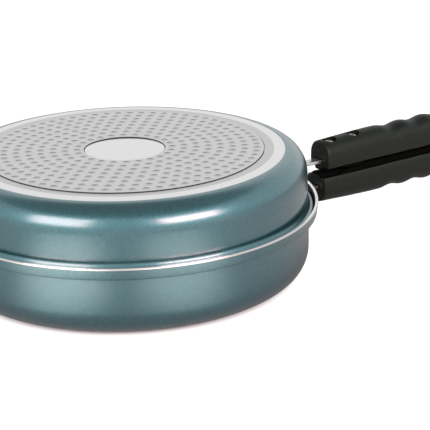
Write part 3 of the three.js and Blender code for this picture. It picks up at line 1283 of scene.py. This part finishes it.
@dataclass
class HandleBracket:
    """Steel bracket: a plate curved to the wall and a flat tang that runs into the handle."""

    half: Half
    plate_thickness: float = 2.5 * MM
    plate_width: float = 42 * MM
    plate_height: float = 11.5 * MM
    plate_corner: float = 3 * MM
    plate_steps: int = 11
    corner_segments: int = 5
    edge_round: float = 0.4 * MM
    edge_segments: int = 2
    tang_width: float = 7 * MM
    tang_thickness: float = 2.2 * MM
    tang_sink: float = 0.5 * MM
    crank_start: float = 16 * MM
    crank_run: float = 13 * MM
    crank_round: float = 5 * MM

    def inner_radius(self) -> float:
        """Radius of the plate's inner face."""
        return self.half.wall_radius() + SEAT_GAP

    def plate(self) -> bpy.types.Object:
        """Spins the plate's section through its width and rounds its corners.

        Returns:
            The plate, out of edit mode.
        """
        middle = self.half.middle(RIVETS[0]).z
        spread = self.plate_width / 2 / self.half.wall_radius()
        sideways = Vector((math.cos(spread), math.sin(spread), 0))
        inner = sideways * self.inner_radius()
        outer = sideways * (self.inner_radius() + self.plate_thickness)
        down = Vector((0, 0, middle - self.plate_height / 2))
        up = Vector((0, 0, middle + self.plate_height / 2))
        piece = filled([inner + down, outer + down, outer + up, inner + up])
        bpy.ops.mesh.spin(steps=self.plate_steps, angle=2 * spread, center=ORIGIN, axis=UPWARDS)

        def at_corner(edge: bmesh.types.BMEdge) -> bool:
            """Tests for the four short edges that run through the plate at its corners.

            Args:
                edge: an edge of the plate.

            Returns:
                True for such an edge.
            """
            a, b = (vertex.co for vertex in edge.verts)
            level = abs(a.z - b.z) < MERGE_DISTANCE
            through = abs(math.hypot(a.x, a.y) - math.hypot(b.x, b.y)) > self.plate_thickness / 2
            far = all(abs(abs(math.atan2(v.y, v.x)) - spread) < MERGE_DISTANCE for v in (a, b))
            return level and through and far

        round_off(piece, at_corner, self.plate_corner, self.corner_segments)
        return piece

    def tang(self) -> bpy.types.Object:
        """Draws the tang from its side, runs it out to its width and rounds its edges.

        Returns:
            The tang, out of edit mode.
        """
        end = self.half.box("handle_bracket")[1].x
        level = self.half.tang_level()
        start = self.inner_radius() + self.plate_thickness - self.tang_sink
        line = [Corner(start, level), Corner(end, level)]
        if self.half.side is Side.UPPER:
            root = self.half.middle(RIVETS[0]).z + self.plate_height / 2 - self.tang_thickness
            bend = self.half.wall_radius() + self.crank_start
            line[:1] = [
                Corner(start, root),
                Corner(bend, root, self.crank_round),
                Corner(bend + self.crank_run, level, self.crank_round),
            ]
        middle = rounded(line)
        sides = ([], [])
        for number, point in enumerate(middle):
            ahead = middle[min(number + 1, len(middle) - 1)] - middle[max(number - 1, 0)]
            aside = Vector((-ahead.y, ahead.x)).normalized() * self.tang_thickness / 2
            sides[0].append(point - aside)
            sides[1].append(point + aside)
        outline = upright([*sides[0], *reversed(sides[1])], Vector((0, -self.tang_width / 2, 0)))
        piece = run_out(outline, Vector((0, self.tang_width, 0)))
        round_off(piece, beside, self.edge_round, self.edge_segments)
        return piece

    def build(self) -> bpy.types.Object:
        """Joins plate and tang, and drills them for rivets and screws.

        Returns:
            The bracket.
        """
        piece = self.plate()
        combine(piece, self.tang(), Operation.JOIN)
        near = self.inner_radius() - self.plate_thickness
        far = self.inner_radius() + 2 * self.plate_thickness
        self.half.drill_for_rivets(piece, near, far)
        for name in SCREWS:
            low, high = self.half.box(name)
            x = self.half.middle(name).x
            hole = drill(SCREW_BORE, Vector((x, 0, low.z)), Vector((x, 0, high.z)))
            combine(piece, hole, Operation.CUT)
        return piece

    def make(self, finishes: Finishes) -> None:
        """Builds and dresses the bracket."""
        self.half.settle(self.build(), "handle_bracket", Slot.BRACKET, [finishes.bracket])


@dataclass
class Rivet:
    """Rivet through wall and plate: a low wide head inside the pan and a domed one on the plate."""

    half: Half
    name: str
    shank_radius: float = 2.5 * MM
    inner_radius: float = 5.5 * MM
    inner_height: float = 1.6 * MM
    outer_radius: float = 5 * MM
    outer_height: float = 2.2 * MM
    lip: float = 0.35 * MM
    dome_steps: int = 12

    def dome(self, seat: float, radius: float, height: float) -> list[Vector]:
        """Draws a domed head.

        Args:
            seat: place of the head's flat underside along the rivet.
            radius: the head's radius.
            height: its height, below 0 where it points back.

        Returns:
            Points from the shank's edge of the underside to the tip, each along and off the axis.
        """
        lip = math.copysign(self.lip, height)
        points = [Vector((seat, radius - self.lip / 2)), Vector((seat + lip / 2, radius))]
        for step in range(1, self.dome_steps + 1):
            angle = step / self.dome_steps * math.pi / 2
            along = seat + lip + (height - lip) * math.sin(angle)
            points.append(Vector((along, radius * math.cos(angle) if step < self.dome_steps else 0.0)))
        return points

    def build(self) -> bpy.types.Object:
        """Spins the rivet's outline about its own line.

        Returns:
            The rivet.
        """
        foot, outwards = self.half.rivet_line(self.name)
        inner = self.dome(self.inner_seat(), self.inner_radius, -self.inner_height)
        outer = self.dome(self.outer_seat(), self.outer_radius, self.outer_height)
        shank = [Vector((seat, self.shank_radius)) for seat in (self.inner_seat(), self.outer_seat())]
        flat = [*reversed(inner), *shank, *outer]
        points = [foot + outwards * point.x + Vector((0, 0, point.y)) for point in flat]
        return spun(points, foot, outwards, SMALL_STEPS)

    def inner_seat(self) -> float:
        """Place of the inner head's underside, from the pan's axis."""
        return self.half.wall_radius() - PressedPan.wall - SEAT_GAP

    def outer_seat(self) -> float:
        """Place of the outer head's underside, from the pan's axis."""
        return HandleBracket(self.half).inner_radius() + HandleBracket.plate_thickness + SEAT_GAP

    def make(self, finishes: Finishes) -> None:
        """Builds and dresses the rivet."""
        self.half.settle(self.build(), self.name, Slot.RIVET, [finishes.rivet])


def ease(place: float, start: float, end: float) -> float:
    """Smooth step from 0 to 1 between two places."""
    share = min(1.0, max(0.0, (place - start) / (end - start)))
    return share * share * (3 - 2 * share)


class HandleFace(IntEnum):
    """Finishes of the handle, by their place in its list of materials."""

    SATIN = 0
    # Matt skin, its colour painted darker as the shade between the two handles.
    MATT = 1


@dataclass
class Handle:
    """Moulded handle with finger grooves on its outer side, a raised rib and pad on its inner side,
    screw recesses and a hanging hole."""

    half: Half
    half_width: float = 9.8 * MM
    end_gap: float = 0.5 * MM
    grip_gap: float = 0.4 * MM
    pad_gap: float = 0.25 * MM
    rib_half_width: float = 4.8 * MM
    rib_height: float = 2.3 * MM
    # Depth from the plane between the handles within which the skin is painted darker as shade.
    matt_depth: float = 3.1 * MM
    end_reach: float = 20.8 * MM
    grip_reach: float = 23.1 * MM
    grip_swell: float = 0.9 * MM
    straight: float = 50.5 * MM
    finger_pitch: float = 22.5 * MM
    finger_count: int = 4
    finger_depth: float = 1.75 * MM
    closing: float = 12.5 * MM
    tip_round: float = 12 * MM
    end_round: float = 1.2 * MM
    outer_power: float = 2.25
    inner_power: float = 4
    sides: int = 48
    groove_steps: int = 14
    straight_steps: int = 16
    end_steps: int = 5
    tip_steps: int = 12
    tip_last_share: float = 0.97
    pad_start: float = 12.5 * MM
    pad_length: float = 24 * MM
    pad_sink: float = 3.4 * MM
    pad_half_width: float = 7.6 * MM
    pad_sides: int = 72
    pad_round: float = 0.8 * MM
    pad_segments: int = 3
    slot_half_width: float = 3.9 * MM
    slot_half_height: float = 1.5 * MM
    slot_past_tang: float = 0.4 * MM
    mouth_flare: float = 0.35 * MM
    recess_radius: float = 5.2 * MM
    hang_length: float = 15 * MM
    hang_width: float = 8 * MM
    hang_inset: float = 17 * MM
    overrun: float = 3 * MM

    def start(self) -> float:
        """Where the upper handle starts, which places along both handles are measured from."""
        return node_box("upper_handle")[0].x

    def near_end(self) -> float:
        """Place of the near end, below 0 where the handle starts nearer to the pan."""
        return self.half.box("handle")[0].x - self.start()

    def far_end(self) -> float:
        """Place of the far end."""
        return self.half.box("handle")[1].x - self.start()

    def outer_reach(self, place: float) -> float:
        """Finds how far out the side with the grooves lies.

        Args:
            place: distance along the handle.

        Returns:
            Its distance from the plane between the handles.
        """
        along = (place - self.straight) / self.finger_pitch
        growth = ease(place, -self.straight / 2, self.straight)
        grown = self.end_reach + (self.grip_reach - self.end_reach) * growth
        swell = self.grip_swell * min(max(along, 0.0), self.finger_count) / self.finger_count
        in_grip = 0 < along < self.finger_count
        groove = self.finger_depth * (1 - math.cos(2 * math.pi * along)) / 2 if in_grip else 0.0
        return grown + swell - groove

    def inner_gap(self, place: float) -> float:
        """Distance of the inner side's rib from the plane between the handles, at a place along them."""
        closed = ease(place, self.straight - self.closing, self.straight)
        return self.end_gap + (self.grip_gap - self.end_gap) * closed

    def stations(self) -> list[tuple[float, float]]:
        """Lists where along the handle its skin has a ring.

        Returns:
            The places, each with its share of the full section.
        """
        found = []
        for step in range(self.end_steps + 1):
            angle = step / self.end_steps * math.pi / 2
            inset = self.end_round / self.half_width * (1 - math.sin(angle))
            found.append((self.near_end() + self.end_round * (1 - math.cos(angle)), 1 - inset))
        first = self.near_end() + self.end_round
        for step in range(1, self.straight_steps):
            found.append((first + (self.straight - first) * step / self.straight_steps, 1.0))
        for step in range(self.finger_count * self.groove_steps + 1):
            found.append((self.straight + step * self.finger_pitch / self.groove_steps, 1.0))
        grip_end = self.straight + self.finger_count * self.finger_pitch
        tip = self.far_end() - self.tip_round
        for step in range(1, self.end_steps):
            found.append((grip_end + (tip - grip_end) * step / self.end_steps, 1.0))
        last = self.tip_last_share * math.pi / 2
        for step in range(self.tip_steps + 1):
            angle = step / self.tip_steps * last
            reach = self.tip_round * math.sin(angle) / math.sin(last)
            found.append((tip + reach, math.sqrt(math.cos(angle))))
        return found

    def section(self, place: float, share: float) -> tuple[Vector, float, float]:
        """Works out the section at a place.

        Args:
            place: distance along the handle.
            share: share of the full section.

        Returns:
            Its middle, half width and half height.
        """
        near = self.inner_gap(place)
        far = self.outer_reach(place)
        middle = Vector((self.start() + place, 0, self.half.mating_level() - (near + far) / 2))
        return middle, self.half_width * share, (far - near) / 2 * share

    def skin(self) -> bpy.types.Object:
        """Draws the first section and extrudes it from ring to ring, resized and shifted each time.

        Returns:
            The skin, closed and out of edit mode.
        """
        stations = self.stations()
        middle, half_width, half_height = self.section(*stations[0])
        outline = []
        for side in range(self.sides):
            angle = (side + 1 / 2) / self.sides * 2 * math.pi
            across = math.cos(angle)
            up = math.sin(angle)
            power = self.inner_power if up > 0 else self.outer_power
            y = half_width * math.copysign(abs(across) ** (2 / power), across)
            z = half_height * math.copysign(abs(up) ** (2 / power), up)
            beside_rib = abs(y) > self.rib_half_width
            top = half_height - self.rib_height if beside_rib else half_height
            outline.append(middle + Vector((0, y, min(z, top))))
        piece = filled(outline)
        for station in stations[1:]:
            after, after_width, after_height = self.section(*station)
            bpy.ops.mesh.extrude_region_move(TRANSFORM_OT_translate={"value": after - middle})
            grown = (1, after_width / half_width, after_height / half_height)
            bpy.ops.transform.resize(value=grown, center_override=after)
            middle, half_width, half_height = after, after_width, after_height
        close_up()
        return piece

    def pad(self) -> bpy.types.Object:
        """Makes the oval pad that stands out of the inner side round the rib.

        Returns:
            The pad, out of edit mode.
        """
        level = self.half.mating_level() - self.pad_gap - self.pad_sink
        middle = Vector((self.start() + self.pad_start + self.pad_length / 2, -self.pad_half_width, level))
        outline = []
        for side in range(self.pad_sides):
            angle = side / self.pad_sides * 2 * math.pi
            arm = Vector((self.pad_length / 2 * math.cos(angle), 0, self.pad_sink * math.sin(angle)))
            outline.append(middle + arm)
        piece = run_out(outline, Vector((0, 2 * self.pad_half_width, 0)))
        round_off(piece, beside, self.pad_round, self.pad_segments)
        return piece

    def tang_slot(self) -> bpy.types.Object:
        """Makes the cutter of the slot for the tang, with a mouth that widens a little.

        Returns:
            The cutter, out of edit mode.
        """
        level = self.half.tang_level()
        end = self.half.box("handle_bracket")[1].x + self.slot_past_tang
        mouth = self.start() + self.near_end() + self.mouth_flare
        outline = [
            Vector((end, y * self.slot_half_width, level + z * self.slot_half_height)) for y, z in SQUARE
        ]
        piece = run_out(outline, Vector((mouth - end, 0, 0)))
        bpy.ops.mesh.extrude_region_move(TRANSFORM_OT_translate={"value": (-2 * self.mouth_flare, 0, 0)})
        wider = 1 + 2 * self.mouth_flare / self.slot_half_width
        higher = 1 + 2 * self.mouth_flare / self.slot_half_height
        bpy.ops.transform.resize(value=(1, wider, higher), center_override=(mouth, 0, level))
        close_up()
        return piece

    def hanging_hole(self) -> bpy.types.Object:
        """Makes the cutter of the oval hanging hole: a round bar drawn apart along X.

        Returns:
            The cutter, out of edit mode.
        """
        middle = self.start() + self.far_end() - self.hang_inset
        top = self.half.mating_level() + self.overrun
        foot = Vector((middle, 0, top - self.grip_reach - self.grip_swell - 2 * self.overrun))
        piece = drill(self.hang_width / 2, foot, Vector((middle, 0, top)), 2 * SMALL_STEPS)
        apart = (self.hang_length - self.hang_width) / 2
        bpy.ops.object.mode_set(mode="EDIT")
        for end in (1, -1):
            pick(piece, Element.POINT, lambda v, end=end: end * (v.co.x - middle) > MERGE_DISTANCE)
            bpy.ops.transform.translate(value=(end * apart, 0, 0))
        bpy.ops.object.mode_set(mode="OBJECT")
        return piece

    def build(self) -> bpy.types.Object:
        """Models the handle's skin, adds the pad and cuts slot, recesses and holes.

        Returns:
            The handle.
        """
        piece = self.skin()
        combine(piece, self.pad(), Operation.JOIN)
        combine(piece, self.tang_slot(), Operation.CUT)
        bottom = self.half.mating_level() - self.grip_reach - self.grip_swell - self.overrun
        for name in SCREWS:
            screw = HandleScrew(self.half, name)
            low, high = self.half.box(name)
            x = self.half.middle(name).x
            foot = Vector((x, 0, bottom))
            seat = Vector((x, 0, low.z + screw.head_height + screw.head_gap))
            tip = Vector((x, 0, high.z + self.slot_past_tang))
            combine(piece, drill(self.recess_radius, foot, seat, 2 * SMALL_STEPS), Operation.CUT)
            combine(piece, drill(SCREW_BORE, foot, tip), Operation.CUT)
        combine(piece, self.hanging_hole(), Operation.CUT)
        return piece

    def paint(self, middle: Vector, normal: Vector) -> HandleFace:
        """Picks the finish of a face: matt on the side towards the other handle, its colour painted darker
        as the shade that falls between the two handles.

        Args:
            middle: the face's middle.
            normal: its outward direction, which doesn't matter here.

        Returns:
            Its finish.
        """
        # Faces near the other handle get the matt skin, which is painted dark as shade.
        matt = middle.z > self.half.mating_level() - self.matt_depth
        return HandleFace.MATT if matt else HandleFace.SATIN

    def make(self, finishes: Finishes) -> None:
        """Builds and dresses the handle."""
        materials = [finishes.phenolic, finishes.matt]
        self.half.settle(self.build(), "handle", Slot.PHENOLIC, materials, self.paint)


@dataclass
class HandleScrew:
    """Handle screw: a rounded head with a tapered cross recess, and a shank into the tang."""

    half: Half
    name: str
    shank_radius: float = 1.8 * MM
    tip_taper: float = 0.5 * MM
    head_radius: float = 3.75 * MM
    head_height: float = 2.6 * MM
    head_gap: float = 0.1 * MM
    head_round: float = 1.5 * MM
    head_crown: float = 0.3 * MM
    cross_width: float = 0.95 * MM
    cross_length: float = 4.4 * MM
    cross_depth: float = 1.4 * MM
    cross_taper: float = 0.55

    def cross(self, x: float, top: float) -> bpy.types.Object:
        """Makes the cutter of the cross recess: two wedges through each other, narrower inside.

        Args:
            x: place of the screw's axis.
            top: height of the head's outer face.

        Returns:
            The cutter, out of edit mode.
        """
        wedges = []
        for along, across in ((self.cross_length, self.cross_width), (self.cross_width, self.cross_length)):
            outline = [
                Vector((x + i * along / 2, j * across / 2, top - self.head_crown)) for i, j in SQUARE
            ]
            wedge = run_out(outline, Vector((0, 0, self.cross_depth + self.head_crown)))
            shrunk = (self.cross_taper, self.cross_taper, 1)
            bpy.ops.transform.resize(value=shrunk, center_override=(x, 0, top))
            close_up()
            wedges.append(wedge)
        combine(*wedges, Operation.JOIN)
        return wedges[0]

    def build(self) -> bpy.types.Object:
        """Spins the screw's outline and cuts the cross.

        Returns:
            The screw.
        """
        low, high = self.half.box(self.name)
        x = self.half.middle(self.name).x
        seat = low.z + self.head_height
        outline = rounded(
            [
                Corner(0, low.z),
                Corner(self.head_radius / 2, low.z, self.head_radius),
                Corner(self.head_radius, low.z + self.head_crown, self.head_round),
                Corner(self.head_radius, seat, self.head_gap),
                Corner(self.shank_radius, seat),
                Corner(self.shank_radius, high.z - self.tip_taper),
                Corner(self.shank_radius - self.tip_taper, high.z),
                Corner(0, high.z),
            ]
        )
        foot = Vector((x, 0, 0))
        piece = spun(upright(outline, foot), foot, UPWARDS, SMALL_STEPS)
        combine(piece, self.cross(x, low.z), Operation.CUT)
        return piece

    def make(self, finishes: Finishes) -> None:
        """Builds and dresses the screw."""
        self.half.settle(self.build(), self.name, Slot.SCREW, [finishes.screw])


@dataclass
class PanHalf:
    """One half of the pair: pan, disc, bracket, two rivets, handle and two screws."""

    half: Half

    def make(self, finishes: Finishes) -> None:
        """Makes its eight pieces.

        Args:
            finishes: the materials of the whole pan.
        """
        PressedPan(self.half).make(finishes)
        InductionDisc(self.half).make(finishes)
        HandleBracket(self.half).make(finishes)
        for name in RIVETS:
            Rivet(self.half, name).make(finishes)
        Handle(self.half).make(finishes)
        for name in SCREWS:
            HandleScrew(self.half, name).make(finishes)


# Studio


def new_lamp(name: str, kind: str, watts: float, tint: str) -> bpy.types.Object:
    """Adds a lamp that the camera doesn't see itself.

    Args:
        name: its name.
        kind: AREA or SPOT.
        watts: its power.
        tint: its colour as six sRGB hex digits.

    Returns:
        The lamp's object at the origin, with the lamp as its data.
    """
    lamp = bpy.data.lights.new(name, kind)
    lamp.energy = watts
    lamp.color = linear(tint)[:3]
    holder = bpy.data.objects.new(name, lamp)
    bpy.context.scene.collection.objects.link(holder)
    holder.visible_camera = False
    return holder


@dataclass(frozen=True)
class Softbox:
    """A rectangular lamp that faces the pan.

    Args:
        name: its name.
        azimuth: direction from the pan, in degrees from +X towards +Y.
        elevation: its height above the floor, in degrees.
        width: its width in metres.
        height: its height in metres.
        watts: its power.
        tint: its colour as six sRGB hex digits.
        distance: how far from the pan it stands.
    """

    name: str
    azimuth: float
    elevation: float
    width: float
    height: float
    watts: float
    tint: str
    distance: float = 1.3

    def hang(self, target: Vector, shaded: Sequence[bpy.types.Object]) -> None:
        """Puts the lamp up.

        Args:
            target: the place that it faces.
            shaded: pieces that are kept out of its light.
        """
        holder = new_lamp(self.name, "AREA", self.watts, self.tint)
        holder.data.shape = "RECTANGLE"
        holder.data.size = self.width
        holder.data.size_y = self.height
        turn = math.radians(self.azimuth)
        rise = math.radians(self.elevation)
        away = Vector((math.cos(turn) * math.cos(rise), math.sin(turn) * math.cos(rise), math.sin(rise)))
        holder.location = target + away * self.distance
        holder.rotation_mode = "QUATERNION"
        holder.rotation_quaternion = away.to_track_quat("Z", "Y")
        kept_out = bpy.data.collections.new(f"{self.name}_kept_out")
        holder.light_linking.receiver_collection = kept_out
        for piece in shaded:
            kept_out.objects.link(piece)
        for link in kept_out.collection_objects:
            link.light_linking.link_state = "EXCLUDE"


@dataclass(frozen=True)
class Pool:
    """A spot lamp straight above the floor that lays a soft pool of light beside the pan. The pan's
    walls mirror it.

    Args:
        name: its name.
        azimuth: direction of the pool from the pan, in degrees from +X towards +Y.
        watts: its power.
        distance: from the pans' axis to the middle of the pool, in metres.
        tint: its colour as six sRGB hex digits.
        radius: radius of the pool in metres.
        height: how high the lamp hangs.
        size: radius of the lamp itself.
    """

    name: str
    azimuth: float
    watts: float
    distance: float = 220 * MM
    tint: str = "FFE0D8"
    radius: float = 95 * MM
    height: float = 1.2
    size: float = 20 * MM

    def hang(self) -> None:
        """Puts the lamp up, shining straight down."""
        holder = new_lamp(self.name, "SPOT", self.watts, self.tint)
        holder.data.spot_size = 2 * math.atan(self.radius / self.height)
        holder.data.spot_blend = 1.0
        holder.data.shadow_soft_size = self.size
        turn = math.radians(self.azimuth)
        holder.location = (self.distance * math.cos(turn), self.distance * math.sin(turn), self.height)


@dataclass(frozen=True)
class Studio:
    """Pale floor, white backdrop, softboxes and pools of light."""

    softboxes: tuple[Softbox, ...] = (
        Softbox(
            "softbox_left", azimuth=-162, elevation=22, width=0.78, height=0.6, watts=8.6, tint="FFD4D0"
        ),
        Softbox(
            "softbox_right", azimuth=-84, elevation=21, width=0.8, height=0.42, watts=10, tint="FFC8C5"
        ),
    )
    pools: tuple[Pool, ...] = (
        Pool("pool_left", azimuth=-150, watts=150),
        Pool("pool_right", azimuth=-99, watts=100),
    )
    floor_radius: float = 4.0
    floor_sides: int = 96
    floor_drop: float = 0.05 * MM
    floor_colour: str = "DCE6E6"
    floor_lift: float = 1.0
    shadow_edge: tuple[float, float] = (98 * MM, 112 * MM)
    mirror_lift: float = 0.25
    mirror_edge: tuple[float, float] = (120 * MM, 190 * MM)
    room_light: float = 0.16
    ceiling: float = 0.4
    backdrop_top_share: float = 0.62
    backdrop_blend_share: float = 0.14

    def lift_from(
        self,
        tree: bpy.types.NodeTree,
        rays: bpy.types.NodeSocket,
        radius: bpy.types.NodeSocket,
        strength: float,
        edge: tuple[float, float],
    ) -> bpy.types.NodeSocket:
        """Adds a glow of the floor that one kind of ray sees and that fades out near the pan.

        Args:
            tree: the floor's nodes.
            rays: socket that is 1 for that kind of ray.
            radius: socket of the distance from the pans' axis.
            strength: the full glow.
            edge: distances from the axis between which it grows from nothing to full.

        Returns:
            The socket of the glow.
        """
        near, far = edge
        fade = {"interpolation_type": "SMOOTHSTEP", "From Min": near, "From Max": far, "To Max": strength}
        grown = add_node(tree, "ShaderNodeMapRange", fade, {"Value": radius})
        seen = add_node(tree, "ShaderNodeMath", {"operation": "MULTIPLY"}, {0: grown.outputs[0], 1: rays})
        return seen.outputs[0]

    def lay_floor(self) -> None:
        """Makes the floor, which keeps the pan's shadow and is white elsewhere."""
        bpy.ops.object.select_all(action="DESELECT")
        bpy.ops.mesh.primitive_circle_add(
            vertices=self.floor_sides,
            radius=self.floor_radius,
            fill_type="NGON",
            location=(0, 0, -self.floor_drop),
        )
        floor = bpy.context.object
        floor.name = "studio_floor"
        material = bpy.data.materials.new("floor_painted_white")
        material.use_nodes = True
        tree = material.node_tree
        tree.nodes.clear()
        paint = add_node(tree, "ShaderNodeBsdfDiffuse", {"Color": linear(self.floor_colour)})
        path = add_node(tree, "ShaderNodeLightPath").outputs
        place = add_node(tree, "ShaderNodeTexCoord").outputs["Object"]
        arm = add_node(tree, "ShaderNodeVectorMath", {"operation": "LENGTH"}, {0: place})
        radius = arm.outputs["Value"]
        lifts = [
            self.lift_from(tree, path["Is Camera Ray"], radius, self.floor_lift, self.shadow_edge),
            self.lift_from(tree, path["Is Glossy Ray"], radius, self.mirror_lift, self.mirror_edge),
        ]
        lift = add_node(tree, "ShaderNodeMath", {"operation": "ADD"}, {0: lifts[0], 1: lifts[1]})
        glow = add_node(tree, "ShaderNodeEmission", {}, {"Strength": lift.outputs[0]})
        both = add_node(tree, "ShaderNodeAddShader", {}, {0: paint.outputs[0], 1: glow.outputs[0]})
        add_node(tree, "ShaderNodeOutputMaterial", {}, {"Surface": both.outputs[0]})
        floor.data.materials.append(material)

    def paint_room(self) -> None:
        """Makes the world: white to the camera, a white backdrop under a grey ceiling to metal, and a
        plain even light to all else."""
        world = bpy.data.worlds.new("studio_room")
        bpy.context.scene.world = world
        world.use_nodes = True
        tree = world.node_tree
        tree.nodes.clear()
        direction = add_node(tree, "ShaderNodeTexCoord").outputs["Generated"]
        parts = add_node(tree, "ShaderNodeSeparateXYZ", {}, {0: direction})
        fade = {
            "interpolation_type": "SMOOTHSTEP",
            "From Min": self.backdrop_top_share,
            "From Max": self.backdrop_top_share + self.backdrop_blend_share,
            "To Min": 1.0,
            "To Max": self.ceiling,
        }
        backdrop = add_node(tree, "ShaderNodeMapRange", fade, {"Value": parts.outputs["Z"]}).outputs[0]
        path = add_node(tree, "ShaderNodeLightPath").outputs
        either = {0: path["Is Glossy Ray"], 1: path["Is Transmission Ray"]}
        mirrored = add_node(tree, "ShaderNodeMath", {"operation": "MAXIMUM"}, either).outputs[0]
        plain = {"data_type": "FLOAT", 2: self.room_light}
        to_metal = add_node(tree, "ShaderNodeMix", plain, {0: mirrored, 3: backdrop}).outputs[0]
        white = {"data_type": "FLOAT", 3: 1.0}
        to_all = add_node(tree, "ShaderNodeMix", white, {0: path["Is Camera Ray"], 2: to_metal})
        light = add_node(tree, "ShaderNodeBackground", {}, {"Strength": to_all.outputs[0]})
        add_node(tree, "ShaderNodeOutputWorld", {}, {"Surface": light.outputs[0]})

    def set_up(self) -> None:
        """Puts up floor, room and lamps."""
        self.lay_floor()
        self.paint_room()
        # Seen from behind, a softbox's reflection in the flat discs would hide their dimples.
        discs = [piece for piece in bpy.data.objects if piece.name.startswith("induction_disc")]
        for softbox in self.softboxes:
            softbox.hang(Vector((0, 0, TOTAL_HEIGHT / 2)), discs)
        for pool in self.pools:
            pool.hang()
        bpy.context.scene.view_settings.view_transform = "Standard"


@dataclass(frozen=True)
class Viewpoint:
    """The camera, where it stood for the photograph.

    Args:
        place: where the camera stands.
        towards: direction that it looks in.
        roll: how far the picture leans, its right end up, in degrees.
        lens: focal length in millimetres.
        sensor: width of its sensor in millimetres.
        nearest: how near it still sees.
        farthest: how far it sees.
    """

    place: tuple[float, float, float] = (-450.2 * MM, -739.3 * MM, 338.9 * MM)
    towards: tuple[float, float, float] = (0.5409, 0.7725, -0.3327)
    roll: float = 1.01
    lens: float = 121.7
    sensor: float = 36.0
    nearest: float = 10 * MM
    farthest: float = 50.0

    def set_up(self) -> None:
        """Makes the camera and hands it to the scene."""
        camera = bpy.data.cameras.new("photograph_camera")
        camera.lens = self.lens
        camera.sensor_width = self.sensor
        camera.clip_start = self.nearest
        camera.clip_end = self.farthest
        ahead = Vector(self.towards).normalized()
        level = ahead.cross(UPWARDS).normalized()
        upwards = level.cross(ahead)
        lean = math.radians(self.roll)
        right = level * math.cos(lean) - upwards * math.sin(lean)
        up = level * math.sin(lean) + upwards * math.cos(lean)
        turned = Matrix((right, up, -ahead)).transposed().to_4x4()
        holder = bpy.data.objects.new("photograph_camera", camera)
        holder.matrix_world = Matrix.Translation(self.place) @ turned
        bpy.context.scene.collection.objects.link(holder)
        bpy.context.scene.camera = holder


def main() -> None:
    """Builds both halves and the studio."""
    logging.basicConfig(level=logging.INFO, format="%(message)s")
    finishes = Finishes.mixed()
    for half in HALVES:
        PanHalf(half).make(finishes)
    Studio().set_up()
    Viewpoint().set_up()


if __name__ == "__main__":
    main()
